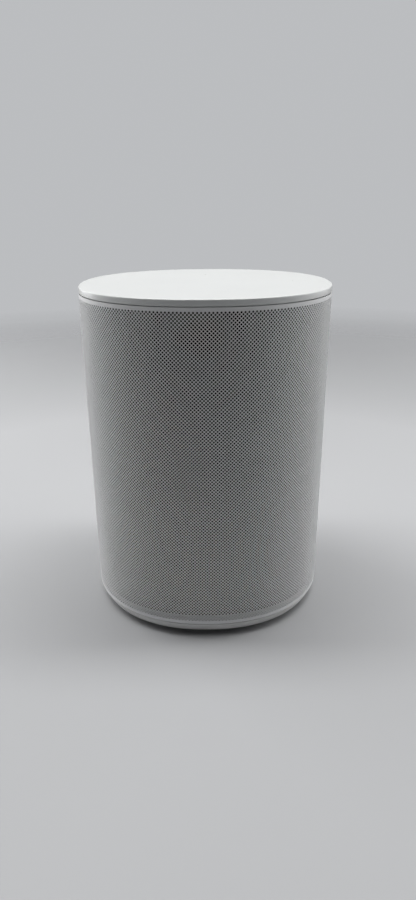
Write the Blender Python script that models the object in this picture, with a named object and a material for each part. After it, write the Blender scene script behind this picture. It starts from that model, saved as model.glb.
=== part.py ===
"""Compact smart speaker, built from its separate pieces.

Metres, +Z up, front towards -Y. The origin is on the surface that the speaker
stands on, under the middle of its footprint. The footprint is a soft square:
a superellipse whose sides bulge and whose corners are round.
"""
import math

import bmesh
import bpy
from mathutils import Matrix, Vector

MM = 0.001

# Driving dimensions: the whole speaker
BODY_HALF = 59.8 * MM
SQUARENESS = 2.2
TOTAL_HEIGHT = 161.5 * MM
RING_STEPS = 48
GAP = 0.3 * MM

# Shell heights
FOOT_DROP = 2.2 * MM
BASE_STRIP = 4.9 * MM
BASE_TAPER = 2.4 * MM
GRILLE_LOW = 7.4 * MM
GRILLE_HIGH = 158.3 * MM
COVER_LOW = 158.95 * MM
COVER_WALL = 2.3 * MM
RIM_ROUND = 0.5 * MM

# Shell walls
GRILLE_WALL = 0.4 * MM
LINER_WALL = 0.4 * MM
REAR_WALL = 2.0 * MM
REAR_HALF_WIDTH = 34.0 * MM
FRAME_HALF = 57.0 * MM

# Acoustic cabinet
CABINET_HALF = 55.3 * MM
CABINET_LOW = 8.6 * MM
CABINET_HIGH = 140.0 * MM
CABINET_WALL = 2.5 * MM
BAFFLE_FRONT = -39.0 * MM
SPLIT = 1.2 * MM
CABINET_BACK = 30.0 * MM

# Drivers, on axes that run along Y
WOOFER_Z = 60.0 * MM
WOOFER_RADIUS = 40.0 * MM
TWEETER_Z = 120.5 * MM
TWEETER_RADIUS = 18.5 * MM

# Controls and sockets on the back
BUTTON_Z = 128.0 * MM
BUTTON_RADIUS = 4.0 * MM
SWITCH_Z = 114.0 * MM
SWITCH_TRAVEL = 3.0 * MM
SLIDER_WIDTH = 5.0 * MM
BUTTON_TRAVEL = 0.8 * MM
USB_Z = 101.0 * MM
INLET_Z = 26.0 * MM
PORT_PLANE = 50.2 * MM

# Microphones in the top cover
MIC_RING = 42.0 * MM
MIC_HOLE = 0.6 * MM
MIC_COUNT = 6
STATUS_Y = 30.0 * MM

# Screws: head radius, head height, shank radius
SMALL_SCREW = (1.7 * MM, 1.1 * MM, 0.9 * MM)
LARGE_SCREW = (2.8 * MM, 1.8 * MM, 1.3 * MM)
HOLE_CLEARANCE = 0.35 * MM

SHARP_ANGLE = math.radians(35)


# ---------------------------------------------------------------- materials

def finish(name, colour, roughness, metallic=0.0):
    """Return a Principled material."""
    material = bpy.data.materials.new(name)
    material.use_nodes = True
    shader = material.node_tree.nodes["Principled BSDF"]
    shader.inputs["Base Color"].default_value = (*colour, 1.0)
    shader.inputs["Roughness"].default_value = roughness
    shader.inputs["Metallic"].default_value = metallic
    return material


# ------------------------------------------------------------------- shapes

def keep(mesh_data, name, material, location=(0.0, 0.0, 0.0)):
    """Turn a bmesh into a named object with outward faces and soft shading."""
    bmesh.ops.recalc_face_normals(mesh_data, faces=mesh_data.faces)
    mesh = bpy.data.meshes.new(name)
    mesh_data.to_mesh(mesh)
    mesh_data.free()
    mesh.shade_smooth()
    mesh.set_sharp_from_angle(angle=SHARP_ANGLE)
    mesh.materials.append(material)
    piece = bpy.data.objects.new(name, mesh)
    piece.location = location
    bpy.context.collection.objects.link(piece)
    return piece


def footprint_point(half, angle):
    """Return the point of the footprint at a parameter angle."""
    power = 2.0 / SQUARENESS
    across, along = math.cos(angle), math.sin(angle)
    x = math.copysign(abs(across) ** power, across) * half
    y = math.copysign(abs(along) ** power, along) * half
    return x, y


def half_width_at(half, y):
    """Return how far the footprint reaches in X at a given Y."""
    return half * (1.0 - (abs(y) / half) ** SQUARENESS) ** (1.0 / SQUARENESS)


def skin(mesh_data, rows, closed_rows, closed_profile):
    """Join rows of vertices with faces; a row of one vertex is a pole."""
    pairs = list(zip(rows, rows[1:]))
    if closed_profile:
        pairs.append((rows[-1], rows[0]))
    for low, high in pairs:
        count = max(len(low), len(high))
        spans = count if closed_rows else count - 1
        for step in range(spans):
            after = (step + 1) % count
            corners = []
            for row, order in ((low, (step, after)), (high, (after, step))):
                if len(row) == 1:
                    corners.append(row[0])
                else:
                    corners += [row[index] for index in order]
            mesh_data.faces.new(corners)


def turned(name, profile, material, location, axis="Y", steps=24):
    """Turn (radius, height) points round an axis; zero radius makes a pole."""
    mesh_data = bmesh.new()
    rows = []
    for radius, height in profile:
        count = steps if radius > 0.0 else 1
        row = []
        for step in range(count):
            angle = math.tau * step / steps
            across, up = radius * math.cos(angle), radius * math.sin(angle)
            if axis == "Y":
                row.append(mesh_data.verts.new((across, height, up)))
            else:
                row.append(mesh_data.verts.new((across, up, height)))
        rows.append(row)
    skin(mesh_data, rows, True, profile[0][0] > 0.0)
    return keep(mesh_data, name, material, location)


def soft_square(name, profile, material, steps=RING_STEPS):
    """Stack footprint rings of (half width, height); a zero half width is a flat cap."""
    mesh_data = bmesh.new()
    rows = []
    for half, height in profile:
        if half > 0.0:
            ring = [footprint_point(half, math.tau * step / steps) for step in range(steps)]
            rows.append([mesh_data.verts.new((x, y, height)) for x, y in ring])
    capped = profile[0][0] == 0.0
    skin(mesh_data, rows, True, not capped)
    if capped:
        mesh_data.faces.new(rows[0])
        mesh_data.faces.new(rows[-1])
    return keep(mesh_data, name, material)


def band(name, outer, wall, low, high, angles, material):
    """Build a curved wall that follows the footprint between two angles."""
    mesh_data = bmesh.new()
    first, last, steps = angles
    corners = ((outer, low), (outer, high), (outer - wall, high), (outer - wall, low))
    rows = []
    for half, height in corners:
        row = []
        for step in range(steps + 1):
            angle = first + (last - first) * step / steps
            x, y = footprint_point(half, angle)
            row.append(mesh_data.verts.new((x, y, height)))
        rows.append(row)
    skin(mesh_data, rows, False, True)
    for end in (0, -1):
        mesh_data.faces.new([row[end] for row in rows])
    return keep(mesh_data, name, material)


def box(name, low, high, material):
    """Build a box between two corners."""
    mesh_data = bmesh.new()
    size = Vector(high) - Vector(low)
    middle = (Vector(high) + Vector(low)) / 2
    place = Matrix.Translation(middle) @ Matrix.Diagonal((*size, 1.0))
    bmesh.ops.create_cube(mesh_data, size=1.0, matrix=place)
    return keep(mesh_data, name, material)


def prism(name, outline, low, high, material):
    """Raise a flat XY outline from one height to another."""
    mesh_data = bmesh.new()
    corners = [mesh_data.verts.new((x, y, low)) for x, y in outline]
    base = mesh_data.faces.new(corners)
    raised = bmesh.ops.extrude_face_region(mesh_data, geom=[base])
    moved = [item for item in raised["geom"] if isinstance(item, bmesh.types.BMVert)]
    bmesh.ops.translate(mesh_data, verts=moved, vec=(0.0, 0.0, high - low))
    return keep(mesh_data, name, material)


def rod(name, start, end, radius, material, steps=12):
    """Build a round bar between two points."""
    mesh_data = bmesh.new()
    start, end = Vector(start), Vector(end)
    turn = (end - start).to_track_quat("Z", "Y").to_matrix().to_4x4()
    place = Matrix.Translation((start + end) / 2) @ turn
    bmesh.ops.create_cone(mesh_data, cap_ends=True, segments=steps, radius1=radius,
                          radius2=radius, depth=(end - start).length, matrix=place)
    return keep(mesh_data, name, material)


def combine(piece, tool, operation):
    """Add a Boolean modifier and leave its tool out of the model."""
    modifier = piece.modifiers.new(tool.name, "BOOLEAN")
    modifier.operation = operation
    modifier.object = tool
    tool.hide_render = True
    tool.display_type = "WIRE"


def cut(piece, *tools):
    """Take the tools away from a piece."""
    for tool in tools:
        combine(piece, tool, "DIFFERENCE")


def weld(piece, *tools):
    """Grow a piece by the tools."""
    for tool in tools:
        combine(piece, tool, "UNION")


def arc(middle, base, radius, first, last, steps):
    """Return profile points on a circle; angle 0 is inward, pi is outward."""
    points = []
    for step in range(steps + 1):
        angle = first + (last - first) * step / steps
        points.append((middle - radius * math.cos(angle), base - radius * math.sin(angle)))
    return points


def dome_profile(radius, base, rise, wall, steps=4):
    """Return the profile of a thin cap that bulges towards -Y."""
    outside, inside = [(0.0, base - rise)], []
    for step in range(steps):
        angle = math.pi / 2 * (steps - 1 - step) / steps
        outside.append((radius * math.cos(angle), base - rise * math.sin(angle)))
        inside.append(((radius - wall) * math.cos(angle),
                       base - (rise - wall) * math.sin(angle)))
    return outside + inside[::-1] + [(0.0, base - rise + wall)]


def screw(name, place, pointing, sizes, length, material):
    """Build a pan-head screw: place is under its head, pointing is its shank's way."""
    head, head_height, shank = sizes
    axis = "Y" if abs(pointing[1]) > 0.5 else "Z"
    sign = pointing[1] + pointing[2]
    profile = [(0.0, -sign * head_height), (0.8 * head, -sign * head_height),
               (head, -sign * 0.5 * head_height), (head, 0.0), (shank, 0.0),
               (shank, sign * length), (0.0, sign * length)]
    return turned(name, profile, material, place, axis, steps=12)


def corners_of(half_x, half_other):
    """Return the four signed pairs of a rectangle's corners."""
    return [(sx * half_x, sy * half_other) for sx in (-1, 1) for sy in (-1, 1)]


# -------------------------------------------------------------- shell pieces

def rear_edge_angle(half_width):
    """Return the footprint angle at which the back reaches a half width."""
    return math.acos((half_width / BODY_HALF) ** (SQUARENESS / 2))


def microphone_holes(name, material):
    """Build the cutter of the ring of microphone holes."""
    mesh_data = bmesh.new()
    for step in range(MIC_COUNT):
        angle = math.tau * step / MIC_COUNT
        place = (MIC_RING * math.cos(angle), MIC_RING * math.sin(angle), TOTAL_HEIGHT)
        bmesh.ops.create_cone(mesh_data, cap_ends=True, segments=8, radius1=MIC_HOLE,
                              radius2=MIC_HOLE, depth=22 * MM,
                              matrix=Matrix.Translation(place))
    return keep(mesh_data, name, material)


def build_top(white, black, amber):
    """Touch cover, its gasket and its light pipe."""
    ceiling = TOTAL_HEIGHT - COVER_WALL
    skirt_outer, skirt_inner, skirt_low = 57.4 * MM, 55.9 * MM, 156.9 * MM
    cover = soft_square("top_cover", [
        (0.0, TOTAL_HEIGHT), (BODY_HALF - RIM_ROUND, TOTAL_HEIGHT),
        (BODY_HALF - 0.3 * RIM_ROUND, TOTAL_HEIGHT - 0.3 * RIM_ROUND),
        (BODY_HALF, TOTAL_HEIGHT - RIM_ROUND), (BODY_HALF, COVER_LOW),
        (skirt_outer, COVER_LOW), (skirt_outer, skirt_low), (skirt_inner, skirt_low),
        (skirt_inner, ceiling), (0.0, ceiling)], white)
    gasket_low = 155.0 * MM
    gasket = turned("mic_gasket", [
        (MIC_RING - 3 * MM, gasket_low), (MIC_RING + 3 * MM, gasket_low),
        (MIC_RING + 3 * MM, ceiling - GAP), (MIC_RING - 3 * MM, ceiling - GAP)],
        black, (0.0, 0.0, 0.0), "Z", steps=28)
    for piece in (cover, gasket):
        cut(piece, microphone_holes(piece.name + "_mic_holes", black))
    cut(cover, rod("status_hole", (0, STATUS_Y, ceiling - MM),
                   (0, STATUS_Y, TOTAL_HEIGHT + MM), 1.1 * MM, black))
    turned("status_light_pipe", [
        (0.0, gasket_low), (2.0 * MM, gasket_low), (2.0 * MM, ceiling - GAP),
        (0.8 * MM, ceiling - GAP), (0.8 * MM, TOTAL_HEIGHT - 0.1 * MM),
        (0.0, TOTAL_HEIGHT - 0.1 * MM)], amber, (0.0, STATUS_Y, 0.0), "Z", steps=16)


def build_grille(white, black):
    """Perforated wrap and the cloth behind it, both open at the back."""
    edge = rear_edge_angle(REAR_HALF_WIDTH + GAP)
    angles = (math.pi - edge, math.tau + edge, RING_STEPS)
    band("grille", BODY_HALF, GRILLE_WALL, GRILLE_LOW, GRILLE_HIGH, angles, white)
    band("acoustic_liner", BODY_HALF - GRILLE_WALL - GAP, LINER_WALL,
         GRILLE_LOW + 4.5 * MM, GRILLE_HIGH - 1.8 * MM, angles, black)


def build_rear_panel(white):
    """Plain back panel with its openings and its posts."""
    edge = rear_edge_angle(REAR_HALF_WIDTH)
    angles = (edge, math.pi - edge, 16)
    panel = band("rear_panel", BODY_HALF, REAR_WALL, GRILLE_LOW, GRILLE_HIGH, angles, white)
    inner, outer = 55 * MM, 65 * MM
    slot_reach = (SLIDER_WIDTH + SWITCH_TRAVEL) / 2 + 0.4 * MM
    for number, (x, z) in enumerate(((-15, 98), (15, 98), (-15, 135), (15, 135))):
        weld(panel, rod(f"rear_post_{number}", (x * MM, PORT_PLANE + GAP, z * MM),
                        (x * MM, 58.0 * MM, z * MM), 2.0 * MM, white, steps=10))
    cut(panel,
        box("inlet_window", (-11.3 * MM, inner, INLET_Z - 7.3 * MM),
            (11.3 * MM, outer, INLET_Z + 7.3 * MM), white),
        box("usb_window", (-5.0 * MM, inner, USB_Z - 2.2 * MM),
            (5.0 * MM, outer, USB_Z + 2.2 * MM), white),
        box("switch_window", (-slot_reach, inner, SWITCH_Z - 1.8 * MM),
            (slot_reach, outer, SWITCH_Z + 1.8 * MM), white),
        rod("button_window", (0, inner, BUTTON_Z), (0, outer, BUTTON_Z),
            BUTTON_RADIUS + GAP, white, steps=24))


def build_base(white, rubber, steel):
    """Base tray with its tapered strip, the foot ring and four screws."""
    strip_high = FOOT_DROP + BASE_STRIP
    groove_high = FOOT_DROP + 1.2 * MM
    floor_high = 8.3 * MM
    upstand_outer, upstand_inner, upstand_high = 57.4 * MM, 55.7 * MM, 11.5 * MM
    foot_inner, foot_outer = 41.0 * MM, 51.0 * MM
    tray = soft_square("base_tray", [
        (0.0, FOOT_DROP), (foot_inner - GAP, FOOT_DROP), (foot_inner - GAP, groove_high),
        (foot_outer + GAP, groove_high), (foot_outer + GAP, FOOT_DROP),
        (BODY_HALF - BASE_TAPER, FOOT_DROP), (BODY_HALF, strip_high),
        (upstand_outer, strip_high), (upstand_outer, upstand_high),
        (upstand_inner, upstand_high), (upstand_inner, floor_high), (0.0, floor_high)], white)
    soft_square("foot_ring", [
        (foot_inner + 0.4 * MM, 0.0), (foot_outer - 0.4 * MM, 0.0),
        (foot_outer, 0.4 * MM), (foot_outer, groove_high - GAP),
        (foot_inner, groove_high - GAP), (foot_inner, 0.4 * MM)], rubber, steps=40)
    head, head_height, shank = LARGE_SCREW
    head_seat = FOOT_DROP + head_height + 0.8 * MM
    for number, (x, y) in enumerate(corners_of(26 * MM, 20 * MM), start=1):
        screw(f"base_screw_{number}", (x, y, head_seat), (0, 0, 1), LARGE_SCREW,
              11 * MM, steel)
        cut(tray,
            rod(f"base_counterbore_{number}", (x, y, 0), (x, y, head_seat + GAP),
                head + HOLE_CLEARANCE, white),
            rod(f"base_hole_{number}", (x, y, 0), (x, y, floor_high + MM),
                shank + HOLE_CLEARANCE, white))


# ------------------------------------------------------------ cabinet pieces

def slab_outline(half, y_start, y_end, steps=14):
    """Return the footprint's outline between two flat cuts across Y."""
    right = []
    for step in range(steps + 1):
        y = y_start + (y_end - y_start) * step / steps
        right.append((half_width_at(half, y), y))
    return right + [(-x, y) for x, y in reversed(right)]


def cabinet_shell(name, y_open, y_closed, material):
    """Build one half of the cabinet as a tray that opens at the split."""
    inward = math.copysign(CABINET_WALL, y_open - y_closed)
    past_open = y_open + math.copysign(2 * MM, y_open - y_closed)
    shell = prism(name, slab_outline(CABINET_HALF, y_open, y_closed),
                  CABINET_LOW, CABINET_HIGH, material)
    hollow = prism(name + "_hollow",
                   slab_outline(CABINET_HALF - CABINET_WALL, past_open, y_closed + inward),
                   CABINET_LOW + CABINET_WALL, CABINET_HIGH - CABINET_WALL, material)
    cut(shell, hollow)
    return shell


def cabinet_screw_places():
    """Return the X and Z of the four screws that close the cabinet."""
    middle = (CABINET_LOW + CABINET_HIGH) / 2
    reach = (CABINET_HIGH - CABINET_LOW) / 2 - 4.5 * MM
    return [(x, middle + z) for x, z in corners_of(41.5 * MM, reach)]


def build_cabinet(grey, rubber, steel):
    """Front and rear cabinet halves, their seal and their screws."""
    front = cabinet_shell("cabinet_front", -SPLIT, BAFFLE_FRONT, grey)
    rear = cabinet_shell("cabinet_rear", SPLIT, CABINET_BACK, grey)
    shank = LARGE_SCREW[2]
    for number, (x, z) in enumerate(cabinet_screw_places(), start=1):
        weld(front, rod(f"front_boss_{number}", (x, -20 * MM, z), (x, -SPLIT, z),
                        3.6 * MM, grey, steps=12))
        weld(rear, rod(f"rear_boss_{number}", (x, SPLIT, z), (x, CABINET_BACK - MM, z),
                       3.6 * MM, grey, steps=12))
        cut(front, rod(f"front_pilot_{number}", (x, -16 * MM, z), (x, MM, z),
                       shank + HOLE_CLEARANCE, grey, steps=12))
        cut(rear, rod(f"rear_bore_{number}", (x, 0, z), (x, CABINET_BACK + MM, z),
                      shank + HOLE_CLEARANCE, grey, steps=12))
        screw(f"cabinet_screw_{number}", (x, CABINET_BACK + GAP, z), (0, -1, 0),
              LARGE_SCREW, 42 * MM, steel)
    cut(front,
        rod("woofer_window", (0, BAFFLE_FRONT - MM, WOOFER_Z),
            (0, BAFFLE_FRONT + 4 * MM, WOOFER_Z), 35.4 * MM, grey, steps=28),
        rod("tweeter_window", (0, BAFFLE_FRONT - MM, TWEETER_Z),
            (0, BAFFLE_FRONT + 4 * MM, TWEETER_Z), 13.4 * MM, grey, steps=24))
    for number, (x, y) in enumerate(corners_of(26 * MM, 20 * MM), start=1):
        cut(front if y < 0 else rear,
            rod(f"cabinet_foot_hole_{number}", (x, y, CABINET_LOW - MM),
                (x, y, CABINET_LOW + CABINET_WALL + MM), shank + HOLE_CLEARANCE,
                grey, steps=12))
    seal_half = CABINET_HALF - 0.3 * MM
    seal = box("cabinet_gasket", (-seal_half, -SPLIT + GAP, CABINET_LOW + GAP),
               (seal_half, SPLIT - GAP, CABINET_HIGH - GAP), rubber)
    inside = CABINET_WALL - 0.3 * MM
    cut(seal, box("seal_window", (-seal_half + inside, -SPLIT, CABINET_LOW + inside),
                  (seal_half - inside, SPLIT, CABINET_HIGH - inside), rubber))
    return front


def ring_places(radius, count, first):
    """Return the X and Z offsets of fasteners spaced round a circle."""
    places = []
    for step in range(count):
        angle = first + math.tau * step / count
        places.append((radius * math.cos(angle), radius * math.sin(angle)))
    return places


def fasten(front, flange, prefix, centre_z, places, seat_y, grey, steel):
    """Screw a driver's flange to the baffle at the given places."""
    shank = SMALL_SCREW[2]
    for number, (x, z) in enumerate(places, start=1):
        start = (x, seat_y - 3 * MM, centre_z + z)
        end = (x, BAFFLE_FRONT + 4 * MM, centre_z + z)
        for piece in (front, flange):
            cut(piece, rod(f"{prefix}_{piece.name}_hole_{number}", start, end,
                           shank + HOLE_CLEARANCE, grey, steps=8))
        screw(f"{prefix}_screw_{number}", (x, seat_y - GAP, centre_z + z), (0, 1, 0),
              SMALL_SCREW, 8 * MM, steel)


def build_woofer(front, black, steel, ferrite, paper, rubber, copper):
    """Mid-woofer: fixed basket and magnet, moving cone, cap and coil."""
    centre = (0.0, 0.0, WOOFER_Z)
    flange_front, flange_back = -42.8 * MM, -40.3 * MM
    basket = turned("woofer_basket", [
        (33.8 * MM, flange_front), (WOOFER_RADIUS, flange_front),
        (WOOFER_RADIUS, flange_back), (35.0 * MM, flange_back), (34.6 * MM, -37 * MM),
        (27.0 * MM, -15 * MM), (17.0 * MM, -15 * MM), (17.0 * MM, -16.5 * MM),
        (25.6 * MM, -16.5 * MM), (33.0 * MM, -38 * MM)], black, centre, steps=28)
    cut(basket,
        box("basket_side_windows", (-45 * MM, -34 * MM, WOOFER_Z - 11 * MM),
            (45 * MM, -20 * MM, WOOFER_Z + 11 * MM), black),
        box("basket_end_windows", (-11 * MM, -34 * MM, WOOFER_Z - 45 * MM),
            (11 * MM, -20 * MM, WOOFER_Z + 45 * MM), black))
    seal = turned("woofer_gasket", [
        (35.6 * MM, -40.0 * MM), (WOOFER_RADIUS, -40.0 * MM),
        (WOOFER_RADIUS, BAFFLE_FRONT - GAP), (35.6 * MM, BAFFLE_FRONT - GAP)],
        rubber, centre, steps=28)
    places = ring_places(38.0 * MM, 4, math.radians(45))
    fasten(front, basket, "woofer", WOOFER_Z, places, flange_front, black, steel)
    for number, (x, z) in enumerate(places, start=1):
        cut(seal, rod(f"woofer_gasket_hole_{number}", (x, -41 * MM, WOOFER_Z + z),
                      (x, -38 * MM, WOOFER_Z + z), SMALL_SCREW[2] + HOLE_CLEARANCE,
                      rubber, steps=8))
    turned("woofer_top_plate", [
        (13.3 * MM, -14.7 * MM), (26.0 * MM, -14.7 * MM), (26.0 * MM, -10.7 * MM),
        (13.3 * MM, -10.7 * MM)], steel, centre)
    turned("woofer_magnet", [
        (16.0 * MM, -10.4 * MM), (30.0 * MM, -10.4 * MM), (30.0 * MM, -0.4 * MM),
        (16.0 * MM, -0.4 * MM)], ferrite, centre)
    turned("woofer_yoke", [
        (0.0, -14.5 * MM), (12.0 * MM, -14.5 * MM), (12.0 * MM, -0.1 * MM),
        (27.0 * MM, -0.1 * MM), (27.0 * MM, 4.0 * MM), (0.0, 4.0 * MM)], steel, centre)
    lip_front, lip_back = -43.5 * MM, -43.1 * MM
    roll_middle, roll_outer, roll_inner = 32.7 * MM, 2.2 * MM, 1.7 * MM
    over = arc(roll_middle, lip_front, roll_outer, 0.0, math.pi, 5)
    under = arc(roll_middle, lip_front, roll_inner, math.pi, 0.0, 5)
    lip = [(36.0 * MM, lip_front), (36.0 * MM, lip_back), (34.4 * MM, lip_back)]
    inner_lip = [(31.0 * MM, lip_back), (30.5 * MM, lip_back)]
    turned("woofer_surround", over + lip + under + inner_lip, rubber, centre, steps=28)
    turned("woofer_cone", [
        (13.2 * MM, -27.0 * MM), (13.9 * MM, -27.0 * MM), (30.2 * MM, -42.2 * MM),
        (30.2 * MM, -43.0 * MM), (29.5 * MM, -43.0 * MM), (13.2 * MM, -28.0 * MM)],
        paper, centre, steps=28)
    turned("woofer_dust_cap", dome_profile(14.0 * MM, -30.0 * MM, 5.5 * MM, 0.5 * MM),
           paper, centre)
    turned("woofer_voice_coil", [
        (12.35 * MM, -29.0 * MM), (12.9 * MM, -29.0 * MM), (12.9 * MM, -9.0 * MM),
        (12.35 * MM, -9.0 * MM)], copper, centre)
    wave = []
    for step in range(6):
        radius = (13.3 + step * 2.1) * MM
        wave.append((radius, -21.5 * MM + 0.6 * MM * (-1) ** step))
    turned("woofer_spider", wave + [(r, y + 0.4 * MM) for r, y in reversed(wave)],
           copper, centre, steps=28)


def build_tweeter(front, black, steel, ferrite, silk):
    """Tweeter: waveguide plate, moving dome, sealed magnet."""
    centre = (0.0, 0.0, TWEETER_Z)
    plate_front = -42.6 * MM
    plate = turned("tweeter_waveguide", [
        (9.4 * MM, -41.0 * MM), (12.5 * MM, plate_front), (TWEETER_RADIUS, plate_front),
        (TWEETER_RADIUS, BAFFLE_FRONT - GAP), (9.4 * MM, BAFFLE_FRONT - GAP)],
        black, centre)
    fasten(front, plate, "tweeter", TWEETER_Z,
           ring_places(16.0 * MM, 2, math.radians(45)), plate_front, black, steel)
    turned("tweeter_dome", dome_profile(9.0 * MM, -39.6 * MM, 3.2 * MM, 0.5 * MM),
           silk, centre, steps=20)
    turned("tweeter_magnet", [
        (0.0, -38.4 * MM), (12.6 * MM, -38.4 * MM), (13.0 * MM, -38.0 * MM),
        (13.0 * MM, -24.0 * MM), (12.0 * MM, -23.0 * MM), (0.0, -23.0 * MM)],
        ferrite, centre)


# -------------------------------------------------------- electronics pieces

def build_electronics(grey, board, steel, aluminium, black, copper):
    """Boards, shields, antennas, heat sink and power parts."""
    frame_low, frame_high = 148.2 * MM, 150.2 * MM
    frame = soft_square("top_frame", [
        (0.0, frame_low), (FRAME_HALF, frame_low), (FRAME_HALF, 156.5 * MM),
        (55.7 * MM, 156.5 * MM), (55.7 * MM, frame_high), (0.0, frame_high)], grey, steps=40)
    for number, (x, y) in enumerate(corners_of(44 * MM, 20 * MM)):
        weld(frame, rod(f"frame_post_{number}", (x, y, CABINET_HIGH + GAP),
                        (x, y, frame_low + MM), 3.5 * MM, grey, steps=12))
    cut(frame, box("ribbon_slot", (-9 * MM, -21.5 * MM, frame_low - MM),
                   (9 * MM, -18 * MM, frame_high + MM), grey))
    soft_square("touch_board", [
        (0.0, 152.4 * MM), (48 * MM, 152.4 * MM), (48 * MM, 154.0 * MM),
        (0.0, 154.0 * MM)], board, steps=40)
    box("touch_ribbon", (-8 * MM, -20.0 * MM, 142.5 * MM),
        (8 * MM, -19.6 * MM, 152.1 * MM), copper)
    soft_square("main_board", [
        (0.0, 140.3 * MM), (38 * MM, 140.3 * MM), (38 * MM, 141.9 * MM),
        (0.0, 141.9 * MM)], board, steps=40)
    box("processor_shield", (-13 * MM, -8 * MM, 142.2 * MM),
        (13 * MM, 18 * MM, 145.2 * MM), steel)
    for side, sign in (("left", -1), ("right", 1)):
        xs = sorted((sign * 55.6 * MM, sign * 56.4 * MM))
        box(f"antenna_{side}", (xs[0], -9 * MM, 98 * MM), (xs[1], 9 * MM, 132 * MM), steel)

    board_front, board_back = CABINET_BACK + GAP, CABINET_BACK + 1.9 * MM
    box("power_board", (-36 * MM, board_front, 16 * MM), (36 * MM, board_back, 84 * MM), board)
    box("transformer", (-16 * MM, board_back + GAP, 44 * MM),
        (12 * MM, 49 * MM, 72 * MM), copper)
    turned("bulk_capacitor", [
        (0.0, board_back + GAP), (7.0 * MM, board_back + GAP), (7.5 * MM, 33 * MM),
        (7.5 * MM, 46.5 * MM), (7.0 * MM, 47 * MM), (0.0, 47 * MM)],
        black, (24 * MM, 0.0, 54 * MM), steps=20)
    box("amp_board", (-34 * MM, board_front, 90 * MM), (34 * MM, board_back, 134 * MM), board)
    sink_front, sink_base, sink_back = board_back + GAP, 35.4 * MM, 45.0 * MM
    fin, pitch = 1.6 * MM, 6.9 * MM
    outline = [(-29.2 * MM, sink_front), (29.2 * MM, sink_front)]
    for step in range(9):
        edge = 29.2 * MM - step * pitch
        outline += [(edge, sink_back), (edge - fin, sink_back)]
        if step < 8:
            outline += [(edge - fin, sink_base), (edge - pitch, sink_base)]
    outline[-1] = (-29.2 * MM, sink_back)
    prism("heat_sink", outline, 96 * MM, 128 * MM, aluminium)

    route = [(27, 33.6, 78), (34, 36, 86), (40.5, 37.5, 96), (41, 38, 112),
             (40.5, 38, 128), (36, 37, 138), (30, 33, 143.6), (24, 27, 145.6),
             (19.5, 20, 145.6)]
    path = bpy.data.curves.new("power_harness", "CURVE")
    path.dimensions = "3D"
    path.bevel_depth = 1.4 * MM
    path.bevel_resolution = 2
    path.use_fill_caps = True
    line = path.splines.new("POLY")
    line.points.add(len(route) - 1)
    for point, (x, y, z) in zip(line.points, route):
        point.co = (x * MM, y * MM, z * MM, 1.0)
    path.materials.append(black)
    harness = bpy.data.objects.new("power_harness", path)
    bpy.context.collection.objects.link(harness)


def build_ports(board, black, white, steel):
    """Small board behind the back panel, its switches, socket and inlet."""
    front = PORT_PLANE - 1.6 * MM
    mount = PORT_PLANE + GAP
    box("port_board", (-19 * MM, front, 94 * MM), (19 * MM, PORT_PLANE, 139 * MM), board)
    button_back = 53.8 * MM
    box("button_switch", (-3 * MM, mount, BUTTON_Z - 3 * MM),
        (3 * MM, button_back - BUTTON_TRAVEL - GAP, BUTTON_Z + 3 * MM), black)
    turned("pairing_button", [
        (0.0, button_back), (2.0 * MM, button_back), (2.0 * MM, 55.2 * MM),
        (BUTTON_RADIUS + 1.2 * MM, 55.2 * MM), (BUTTON_RADIUS + 1.2 * MM, 56.6 * MM),
        (BUTTON_RADIUS, 56.6 * MM), (BUTTON_RADIUS, 59.4 * MM),
        (BUTTON_RADIUS - 0.4 * MM, 59.8 * MM), (0.0, 59.8 * MM)],
        white, (0.0, 0.0, BUTTON_Z), steps=24)
    box("mic_switch_body", (-6 * MM, mount, SWITCH_Z - 3 * MM),
        (6 * MM, 53.4 * MM, SWITCH_Z + 3 * MM), black)
    slider_start = -(SLIDER_WIDTH + SWITCH_TRAVEL) / 2
    slider = box("mic_switch_slider", (slider_start, 53.7 * MM, SWITCH_Z - 1.4 * MM),
                 (slider_start + SLIDER_WIDTH, 59.2 * MM, SWITCH_Z + 1.4 * MM), white)
    for step in range(3):
        x = slider_start + (1.4 + 1.1 * step) * MM
        cut(slider, box(f"slider_groove_{step}", (x - 0.2 * MM, 58.8 * MM, SWITCH_Z - 3 * MM),
                        (x + 0.2 * MM, 60 * MM, SWITCH_Z + 3 * MM), white))
    usb = box("usb_socket", (-4.6 * MM, mount, USB_Z - 1.7 * MM),
              (4.6 * MM, 58.6 * MM, USB_Z + 1.7 * MM), steel)
    cut(usb, box("usb_cavity", (-4.1 * MM, 52.5 * MM, USB_Z - 1.2 * MM),
                 (4.1 * MM, 60 * MM, USB_Z + 1.2 * MM), steel))
    weld(usb, box("usb_tongue", (-3.3 * MM, 52 * MM, USB_Z - 0.35 * MM),
                  (3.3 * MM, 57.6 * MM, USB_Z + 0.35 * MM), steel))
    inlet = box("power_inlet", (-11 * MM, 42 * MM, INLET_Z - 7 * MM),
                (11 * MM, 59.0 * MM, INLET_Z + 7 * MM), black)
    cut(inlet, box("inlet_cavity", (-8.2 * MM, 45.5 * MM, INLET_Z - 4.5 * MM),
                   (8.2 * MM, 60 * MM, INLET_Z + 4.5 * MM), black))
    for number, x in enumerate((-4.3, 4.3)):
        weld(inlet, rod(f"inlet_pin_{number}", (x * MM, 44 * MM, INLET_Z),
                        (x * MM, 54 * MM, INLET_Z), 1.2 * MM, steel, steps=10))


# -------------------------------------------------------------------- build

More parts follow.
